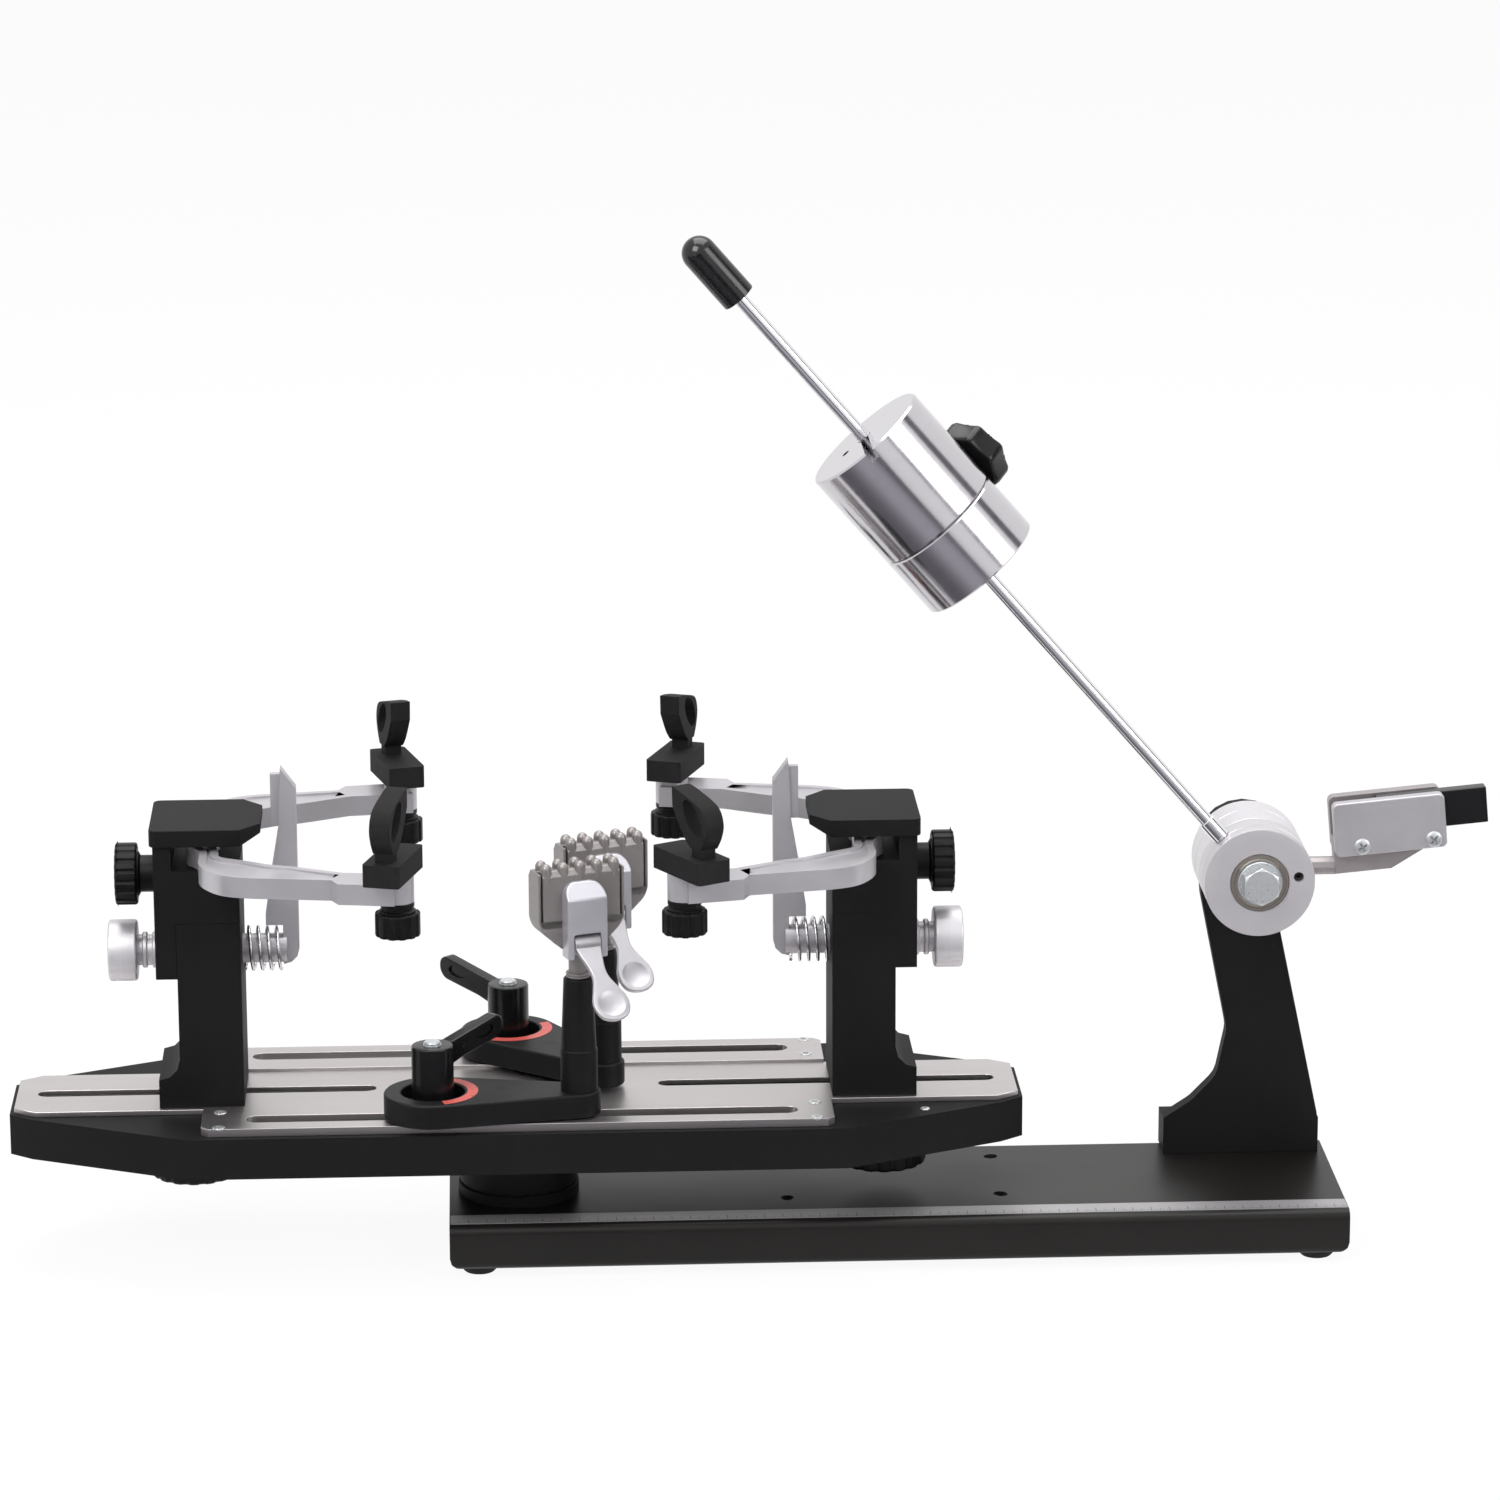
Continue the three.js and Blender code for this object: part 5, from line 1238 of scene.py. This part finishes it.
class STRINGER_OT_clamp_heads(bpy.types.Operator):
    """Clamp heads: the rear jaw with its frame, stem and silver yoke, and the front jaw"""

    bl_idname = "stringer.clamp_heads"
    bl_label = "Clamp heads"

    def execute(self, context):
        front = [
            (-8, 183, 4), (8, 183, 4), (24.35, 198, 5), (24.35, 228.4), (-24.35, 228.4), (-24.35, 198, 5),
        ]
        pocket = [(-22.9, 198.7, 3.4), (22.9, 198.7, 3.4), (22.9, 240), (-22.9, 240)]
        bridge = [(-11.2, 182), (11.2, 182), (11.2, 223, 7), (-11.2, 223, 7)]
        stem = [
            (0, 131.8), (5, 131.8), (5, 167.8), (6.1, 167.8), (6.5, 168.2), (6.5, 169), (6.1, 169.3),
            (6.5, 169.6), (6.5, 170.4), (6.1, 170.7), (5, 170.7), (5, 186), (0, 186),
        ]
        peg = [(0, 223), (3, 223), (3, 230), (2.8, 231.2), (2.2, 232.3), (1.2, 233), (0, 233.2)]
        for row in CLAMP_HUBS:
            node = row + "_clamp_head"
            body = plate(node + "_casting", front, -7, 9, "Y")
            carved(
                body,
                plate("pocket", pocket, -7.3, 0, "Y"),
                plate("fall", [(5.6, 229), (10, 223.5), (10, 230)], -30, 30, "X"),
            )
            rounded(body, 0.7, 3, 30)
            united(body, turned("stem", stem, 48))
            for i in range(PEGS):
                united(body, settle(turned("peg", peg, 24), local((i - (PEGS - 1) / 2) * PEG_STEP, 3.4)))
            settle(body, head_stand(row))
            fitted(body, jaw_metal(), node, "jaw", node)
            yoke = plate(row + "_clamp_yoke", bridge, -16, -6, "Y")
            carved(
                yoke,
                box("window", -7.6, 7.6, -20, -7.3, 180, 195.5),
                plate("slope", [(-18, 212.6), (-7, 224.4), (-18, 226)], -30, 30, "X"),
            )
            rounded(yoke, 0.9, 3, 30)
            pin = settle(rod("pin", 1.8, -9, 9, sides=32), local(*SPOON_PIVOT) @ ALONG_X)
            fitted(settle(united(yoke, pin), head_stand(row)), yoke_metal(), node, "castAluminium")
            node = row + "_clamp_jaw"
            corners = [(-21.9, 199.6, 2.6), (21.9, 199.6, 2.6), (21.9, 229.2), (-21.9, 229.2)]
            jaw = plate(node + "_casting", corners, -7, -1.8, "Y")
            carved(jaw, plate("fall", [(-8, 225), (-4.4, 229.6), (-8, 231)], -30, 30, "X"))
            rounded(jaw, 0.45, 2)
            for i in range(PEGS):
                united(jaw, settle(turned("peg", peg, 24), local((i - (PEGS - 1) / 2) * PEG_STEP, -4.4)))
            fitted(settle(jaw, head_stand(row)), jaw_metal(), node, "jaw", node)
        return {"FINISHED"}


class STRINGER_OT_spoons(bpy.types.Operator):
    """Spoon levers of the clamp heads"""

    bl_idname = "stringer.spoons"
    bl_label = "Spoon levers"

    def execute(self, context):
        half = [
            (7.2, 1, 0), (6.7, -6, 0), (4.7, -15, 0), (4.4, -21.5, 0), (6.7, -28, 0), (9.5, -34.5, 0),
            (9.9, -40, 0), (7.9, -45.2, 0), (4, -47.6, 0), (0, -48.2, 0),
        ]
        half = spline(half, 45)
        outline = [(x, y) for x, y, _ in half] + [(-x, y) for x, y, _ in reversed(half[:-1])]
        for row in CLAMP_HUBS:
            node = row + "_clamp_spoon_lever"
            spoon = rounded(plate(node + "_casting", outline, -1.5, 1.5), 0.9, 3, 50)
            dish = turned("dish", [(0, 0.3), (4.5, 0.5), (7.2, 1.1), (8.3, 1.8), (8.6, 4), (0, 4)], 64)
            carved(spoon, settle(dish, local(0, -38.2)))
            settle(spoon, local(turn=SPOON_LEAN))
            united(spoon, settle(rod("hub", 4.2, -7.2, 7.2, sides=48), ALONG_X))
            place = head_stand(row) @ local(*SPOON_PIVOT) @ tilt(SPOON_DROP, "X")
            fitted(settle(spoon, place), silver_casting(), node, "castAluminium", node)
        return {"FINISHED"}


# Tensioner


class STRINGER_OT_axle(bpy.types.Operator):
    """Axle bolt with its domed hexagon head, washer and nut"""

    bl_idname = "stringer.axle"
    bl_label = "Axle bolt"

    def execute(self, context):
        shank = [(0, -34), (12, -34), (12, -32.1), (6, -32.1), (6, 60.4), (5.2, 61), (0, 61)]
        bolt = turned("axle_shank", shank, 64)
        upside_down = local(z=-34.6) @ tilt(180, "X")
        head = settle(hexagon("head", HEX_ACROSS, 0, 7.5, HEX_DOME), upside_down)
        rim = [(0, -34.6), (11.6, -34.6), (12, -34.2), (12, -32.5), (11.7, -32.1), (0, -32.1)]
        washer = turned("washer", rim, 72)
        nut = hexagon("nut", HEX_ACROSS, 49, 59, HEX_DOME)
        united(bolt, washer, head, nut)
        fitted(settle(bolt, AXLE_STAND @ ALONG_Y), zinc_plate(), "base", "chrome", "axle_bolt")
        return {"FINISHED"}


class STRINGER_OT_disc(bpy.types.Operator):
    """Front disc that carries the rod, with its bearing"""

    bl_idname = "stringer.disc"
    bl_label = "Front disc"

    def execute(self, context):
        profile = [
            (6.3, -31.8), (16, -31.8), (16, -32.7), (16.3, -33), (28.8, -33), (29.7, -32.7), (30, -31.9),
            (30, -24.6), (29.3, -24.2), (29.3, -23.9), (30, -23.5), (30, -11), (29.4, -10.2), (28.8, -10),
            (6.3, -10),
        ]
        disc = turned("front_disc", profile, 160)
        angle = math.radians(GRUB_TURN)
        side = local(GRUB_RADIUS * math.cos(angle), 0, GRUB_RADIUS * math.sin(angle))
        settle(disc, ALONG_Y)
        hole = settle(rod("hole", 2.75, -40, -23, sides=40), side @ ALONG_Y)
        settle(carved(disc, hole), AXLE_STAND)
        metal = turned_metal("front_disc_metal", DISC_TONE, 0.34, AXLE_STAND @ ALONG_Y)
        fitted(disc, metal, "arm", "aluminium", "arm_hub")
        ring = [
            (12.4, -32), (12.6, -32.6), (13.4, -32.7), (13.6, -32.3), (14.2, -32.3), (14.4, -32.8),
            (15.6, -32.8), (15.8, -32.5), (15.8, -31.7), (12.4, -31.7),
        ]
        grub = carved(rod("grub_screw", 2.7, -30.6, -24, sides=40), rod("socket", 1.3, -31, -28, sides=6))
        fitted(settle(grub, AXLE_STAND @ side @ ALONG_Y), dark_steel(), "arm", "steel")
        bearing = settle(turned("bearing_ring", ring, 120), AXLE_STAND @ ALONG_Y)
        fitted(bearing, bearing_steel(), "arm", "chrome")
        return {"FINISHED"}


class STRINGER_OT_rod(bpy.types.Operator):
    """Drop rod with its adapter and rounded grip"""

    bl_idname = "stringer.rod"
    bl_label = "Drop rod"

    def execute(self, context):
        profile = [
            (0, 16.3), (3.8, 16.3), (3.8, 30.3), (4.4, 30.3), (4.8, 30.7), (4.8, 42.9), (4.4, 43.3),
            (3.8, 43.3), (3.8, 446.2), (3.5, 446.5), (0, 446.5),
        ]
        place = ARM_STAND @ local(y=ARM_Y)
        bar = settle(turned("drop_rod", profile, 48), place)
        fitted(bar, chromed(), "arm", "chrome", "arm_rod")
        nose = arc(GRIP_RADIUS, 0, 90, 14, 0, GRIP_END - GRIP_RADIUS)
        grip = [(4.1, 425), (8.6, 425), (9.2, 425.3), (GRIP_RADIUS, 426), *nose, (0, 446.8), (4.1, 446.8)]
        piece = settle(turned("rod_nose", grip, 64), place)
        fitted(piece, grip_plastic(), "arm", "blackRubber", "rod_grip")
        return {"FINISHED"}


class STRINGER_OT_weights(bpy.types.Operator):
    """The two turned weights on the rod"""

    bl_idname = "stringer.weights"
    bl_label = "Weights"

    def execute(self, context):
        place = ARM_STAND @ local(y=ARM_Y)
        metal = turned_metal("weight_metal", looks().bright, 0.15, place, depth=0.0015, metallic=1.0)
        profile = [(4.1, 230), (33.8, 230), (35, 231), (35, 264.7), (34, 265.7), (4.1, 265.7)]
        lower = turned("add_on_disc", profile, 144)
        fitted(settle(lower, place), metal, "weight", "weightSteel", "add_on_weight")
        profile = [(4.1, 266), (34, 266), (35, 267), (35, 324), (34, 325), (4.1, 325)]
        upper = turned("upper_weight", profile, 144)
        across = local(z=WEIGHT_KNOB_HEIGHT, turn=WEIGHT_KNOB_TURN) @ ALONG_X
        carved(
            upper,
            box("slot", -2.5, 2.5, -40, 0, 319, 330),
            rod("screw_hole", 2.2, 319, 330, -12.95, 0, 32),
            settle(rod("stud_hole", 4.3, 13, 40, sides=32), across),
        )
        rounded(upper, 0.25, 2, 50)
        fitted(settle(upper, place), metal, "weight", "weightSteel", "main_weight")
        return {"FINISHED"}


class STRINGER_OT_star_knob(bpy.types.Operator):
    """Star knob that locks the weights"""

    bl_idname = "stringer.star_knob"
    bl_label = "Star knob"

    def execute(self, context):
        outline = []
        for i in range(8):
            corner, side = math.radians(45 * i + 10), math.radians(45 * i + 32.5)
            outline.append((21.4 * math.cos(corner), 21.4 * math.sin(corner), 2.2))
            outline.append((18.9 * math.cos(side), 18.9 * math.sin(side)))
        star = plate("star_grip", outline, 38, 52)
        rounded(star, 2.6, 2, 55)
        sunk(star, (0, 0, 1), 5, 0.8)
        stud = [(0, 13.3), (4, 13.3), (4, 35.3), (7.6, 35.3), (8, 35.7), (8, 40), (0, 40)]
        united(star, turned("stud", stud, 48))
        settle(star, ARM_STAND @ local(y=ARM_Y, z=WEIGHT_KNOB_HEIGHT, turn=WEIGHT_KNOB_TURN) @ ALONG_X)
        fitted(star, gloss_plastic(), "weight_knob", "blackPlastic", "weight_knob")
        return {"FINISHED"}


class STRINGER_OT_drum(bpy.types.Operator):
    """Rear drum that the gripper hangs on"""

    bl_idname = "stringer.drum"
    bl_label = "String drum"

    def execute(self, context):
        profile = [
            (6.3, -9.7), (28.9, -9.7), (29.7, -9.4), (30, -8.8), (30, 8.1), (29.3, 8.5), (29.3, 8.8),
            (30, 9.2), (30, 26.1), (29.7, 26.7), (28.9, 27), (6.3, 27),
        ]
        place = AXLE_STAND @ ALONG_Y
        drum = settle(turned("rear_drum", profile, 160), place)
        metal = turned_metal("rear_drum_metal", looks().bright, 0.34, place)
        fitted(drum, metal, "drum", "aluminium", "tension_drum")
        return {"FINISHED"}


class STRINGER_OT_gripper(bpy.types.Operator):
    """String gripper: its body, front plate with two screws, and the moving jaw"""

    bl_idname = "stringer.gripper"
    bl_label = "String gripper"

    def execute(self, context):
        place = AXLE_STAND @ local(*GRIPPER_PLACE) @ tilt(GRIPPER_TILT, "Y")
        dressed("gripper_body", "gripper_casting", 0.6, 3, dark_casting(), "drum", "castAluminium")
        corners = rectangle(0, GRIPPER_SIZE[0], 0, GRIPPER_SIZE[1], 3)
        front = rounded(plate("gripper_plate", corners, GRIPPER_FRONT, -6, "Y"), 0.9, 3, 50)
        fitted(settle(front, place), satin_aluminium(), "drum", "aluminium", "gripper_front_plate")
        for i, x in enumerate(GRIPPER_SCREWS_X):
            screw = cross_screw(f"gripper_screw_{i}", 4.5, 1.9, 25 + 20 * i)
            settle(screw, place @ local(x, GRIPPER_FRONT, GRIPPER_SCREWS_Z) @ FACING_FRONT)
            fitted(screw, zinc_plate(), "drum", "steel")
        jaw = rounded(plate("gripper_slide", rectangle(25, 85, 9.3, 29.3), -5.7, 2.7, "Y"), 0.8, 3)
        fitted(settle(jaw, place), gloss_plastic(), "gripper_jaw", "blackPlastic", "gripper_jaw")
        return {"FINISHED"}


# Stage


CAMERA_PLACE = (-13.933, -3095.545, 1089.546)
CAMERA_ANGLES = (0.045757, 0.256528, 0.003867)
FAR_CLIP = 60
FLOOR_SIZE = 12
LAMP_TARGET = Vector((0, 0, 0.2))
# Where the cards grow brighter and darker again, in metres before the machine
CARD_RISE = (0.3, 0.9)
CARD_FALL = (1.3, 2.6)
# Each card by its two ends along x, y and z, and each lamp by its place and width, all in metres
CARDS = (
    ("card_low", -2.2, 2.2, -3.4, -0.16, 0.004, 0.006),
    ("card_front", -1.2, 0.7, -3.42, -3.4, 0.0, 1.0),
    ("card_right", 1.35, 1.6, -2.0, -1.9, 0.0, 1.8),
    ("card_side", 2.4, 2.42, -0.45, 0.2, 0.0, 2.4),
)
LAMPS = (("key", (-1.6, -2.2, 2.6), 1.8), ("fill", (2.2, -1.8, 1.6), 1.6), ("top", (0.1, 0.5, 3.0), 2.6))


def surface_of(finish, shader):
    """Puts a shader in place of the material's own."""
    out = next(n for n in finish.tree.nodes if n.type == "OUTPUT_MATERIAL")
    plug(finish.tree, out.inputs["Surface"], shader)


class STRINGER_OT_stage(bpy.types.Operator):
    """Camera at the photograph's angle, pale floor and plain soft light"""

    bl_idname = "stringer.stage"
    bl_label = "Studio"

    def execute(self, context):
        self.set_camera(context)
        self.set_world(context)
        self.set_floor()
        self.set_cards()
        self.set_lamps()
        context.scene.view_settings.view_transform = "Standard"
        return {"FINISHED"}

    def set_camera(self, context):
        camera = bpy.data.objects.new("camera", bpy.data.cameras.new("camera"))
        context.scene.collection.objects.link(camera)
        yaw, pitch, roll = CAMERA_ANGLES
        ahead = Vector((math.sin(yaw) * math.cos(pitch), math.cos(yaw) * math.cos(pitch), -math.sin(pitch)))
        right = Vector((math.cos(yaw), -math.sin(yaw), 0))
        down = ahead.cross(right)
        across = math.cos(roll) * right + math.sin(roll) * down
        below = -math.sin(roll) * right + math.cos(roll) * down
        turn = Matrix((across, -below, -ahead)).transposed().to_4x4()
        camera.matrix_world = Matrix.Translation(PIVOT + Vector(CAMERA_PLACE) * MM) @ turn
        camera.data.lens = stage().lens
        camera.data.clip_end = FAR_CLIP
        context.scene.camera = camera

    def set_world(self, context):
        world = bpy.data.worlds.new("studio")
        context.scene.world = world
        world.use_nodes = True
        tree = world.node_tree
        path = tree.nodes.new("ShaderNodeLightPath")
        strength = None
        for kind in ("Is Camera Ray", "Is Glossy Ray", "Is Transmission Ray"):
            ray = Value(path.outputs[kind])
            strength = ray if strength is None else strength.math("MAXIMUM", strength, ray)
        back = next(n for n in tree.nodes if n.type == "BACKGROUND")
        back.inputs["Color"].default_value = (1, 1, 1, 1)
        plug(tree, back.inputs["Strength"], strength * (1 - stage().ambient) + stage().ambient)

    def set_floor(self):
        only(None)
        bpy.ops.mesh.primitive_plane_add(size=FLOOR_SIZE)
        floor = added("floor")
        finish = Finish("floor_paper", specular=0.0)
        paper = finish.mix(finish.noise(3.0, 2.0), rgba((0.93, 0.93, 0.93)), rgba((0.96, 0.96, 0.96)))
        finish.set(base_color=paper, roughness=0.9)
        glow = finish.node("ShaderNodeEmission", None, {"Color": (1, 1, 1, 1), "Strength": 1.0})
        direct = finish.node("ShaderNodeLightPath", out="Is Camera Ray")
        seen = direct.math("MAXIMUM", direct, finish.node("ShaderNodeLightPath", out="Is Glossy Ray"))
        values = {0: seen * stage().floor_white, 1: Value(finish.shader.outputs[0]), 2: glow}
        surface_of(finish, finish.node("ShaderNodeMixShader", None, values))
        floor.data.materials.append(finish.material)

    def set_cards(self):
        """Cards that only reflections see, brighter in their middle, so that metal has something to show."""
        finish = Finish("card_tone", specular=0.0)
        ray = finish.node("ShaderNodeLightPath", out="Is Glossy Ray")
        _, y, _ = finish.split(finish.place)
        ahead = 0 - y
        middle = finish.stepped(ahead, *CARD_RISE) - finish.stepped(ahead, *CARD_FALL)
        tone = middle * stage().card * 2 + stage().card
        tone = finish.node("ShaderNodeEmission", None, {"Color": (0.93, 0.9, 1, 1), "Strength": tone})
        clear = finish.node("ShaderNodeBsdfTransparent")
        surface_of(finish, finish.node("ShaderNodeMixShader", None, {0: ray, 1: clear, 2: tone}))
        for name, *ends in CARDS:
            card = box(name, *[end / MM for end in ends])
            card.data.materials.append(finish.material)

    def set_lamps(self):
        for name, place, size in LAMPS:
            lamp = bpy.data.objects.new(name, bpy.data.lights.new(name, "AREA"))
            bpy.context.scene.collection.objects.link(lamp)
            lamp.data.size = size
            lamp.data.energy = getattr(stage(), name)
            spot = Vector(place)
            turn = (spot - LAMP_TARGET).to_track_quat("Z", "Y").to_matrix().to_4x4()
            lamp.matrix_world = Matrix.Translation(spot) @ turn


class StringerStage(bpy.types.PropertyGroup):
    """Camera lens and light levels."""

    lens: FloatProperty(
        name="Lens", description="Focal length of the camera in millimetres", default=142.66, min=50, max=300,
    )
    ambient: share_setting("Ambient", "Light from all round on matt surfaces", 0.45)
    floor_white: share_setting("Floor white", "Share of the floor that is plain white", 0.93)
    card: share_setting("Card tone", "Brightness of the dark cards in reflections", 0.16)
    key: power_setting("Key light", "Power of the light at the front left", 70)
    fill: power_setting("Fill light", "Power of the light at the front right", 30)
    top: power_setting("Top light", "Power of the light overhead", 80)


def stage():
    return bpy.context.scene.stringer_stage


STEPS = (
    STRINGER_OT_base, STRINGER_OT_feet, STRINGER_OT_post, STRINGER_OT_hub, STRINGER_OT_casting,
    STRINGER_OT_decks, STRINGER_OT_towers, STRINGER_OT_holders, STRINGER_OT_springs,
    STRINGER_OT_adjusters, STRINGER_OT_holder_knobs, STRINGER_OT_lock_knobs, STRINGER_OT_side_arms,
    STRINGER_OT_supports, STRINGER_OT_support_knobs, STRINGER_OT_clamp_bases, STRINGER_OT_clamp_levers,
    STRINGER_OT_clamp_heads, STRINGER_OT_spoons, STRINGER_OT_axle, STRINGER_OT_disc, STRINGER_OT_rod,
    STRINGER_OT_weights, STRINGER_OT_star_knob, STRINGER_OT_drum, STRINGER_OT_gripper, STRINGER_OT_stage,
)


class STRINGER_PT_steps(bpy.types.Panel):
    """Lists the machine's settings and its building steps"""

    bl_idname = "STRINGER_PT_steps"
    bl_label = "Racket stringing machine"
    bl_space_type = "VIEW_3D"
    bl_region_type = "UI"
    bl_category = "Stringer"

    def draw(self, context):
        for group in (looks(), sizes(), stage()):
            column = self.layout.column()
            for name in group.bl_rna.properties.keys():
                if name not in {"rna_type", "name"}:
                    column.prop(group, name)
        for step in STEPS:
            self.layout.operator(step.bl_idname)


GROUPS = (
    ("stringer_finishes", StringerFinishes),
    ("stringer_sizes", StringerSizes),
    ("stringer_stage", StringerStage),
)


def register():
    for _, group in GROUPS:
        bpy.utils.register_class(group)
    for made in (*STEPS, STRINGER_PT_steps):
        bpy.utils.register_class(made)
    for name, group in GROUPS:
        setattr(bpy.types.Scene, name, PointerProperty(type=group))


def unregister():
    for name, _ in GROUPS:
        delattr(bpy.types.Scene, name)
    for made in (STRINGER_PT_steps, *reversed(STEPS)):
        bpy.utils.unregister_class(made)
    for _, group in reversed(GROUPS):
        bpy.utils.unregister_class(group)


def main():
    register()
    for step in STEPS:
        category, name = step.bl_idname.split(".")
        getattr(getattr(bpy.ops, category), name)()


if __name__ == "__main__":
    main()
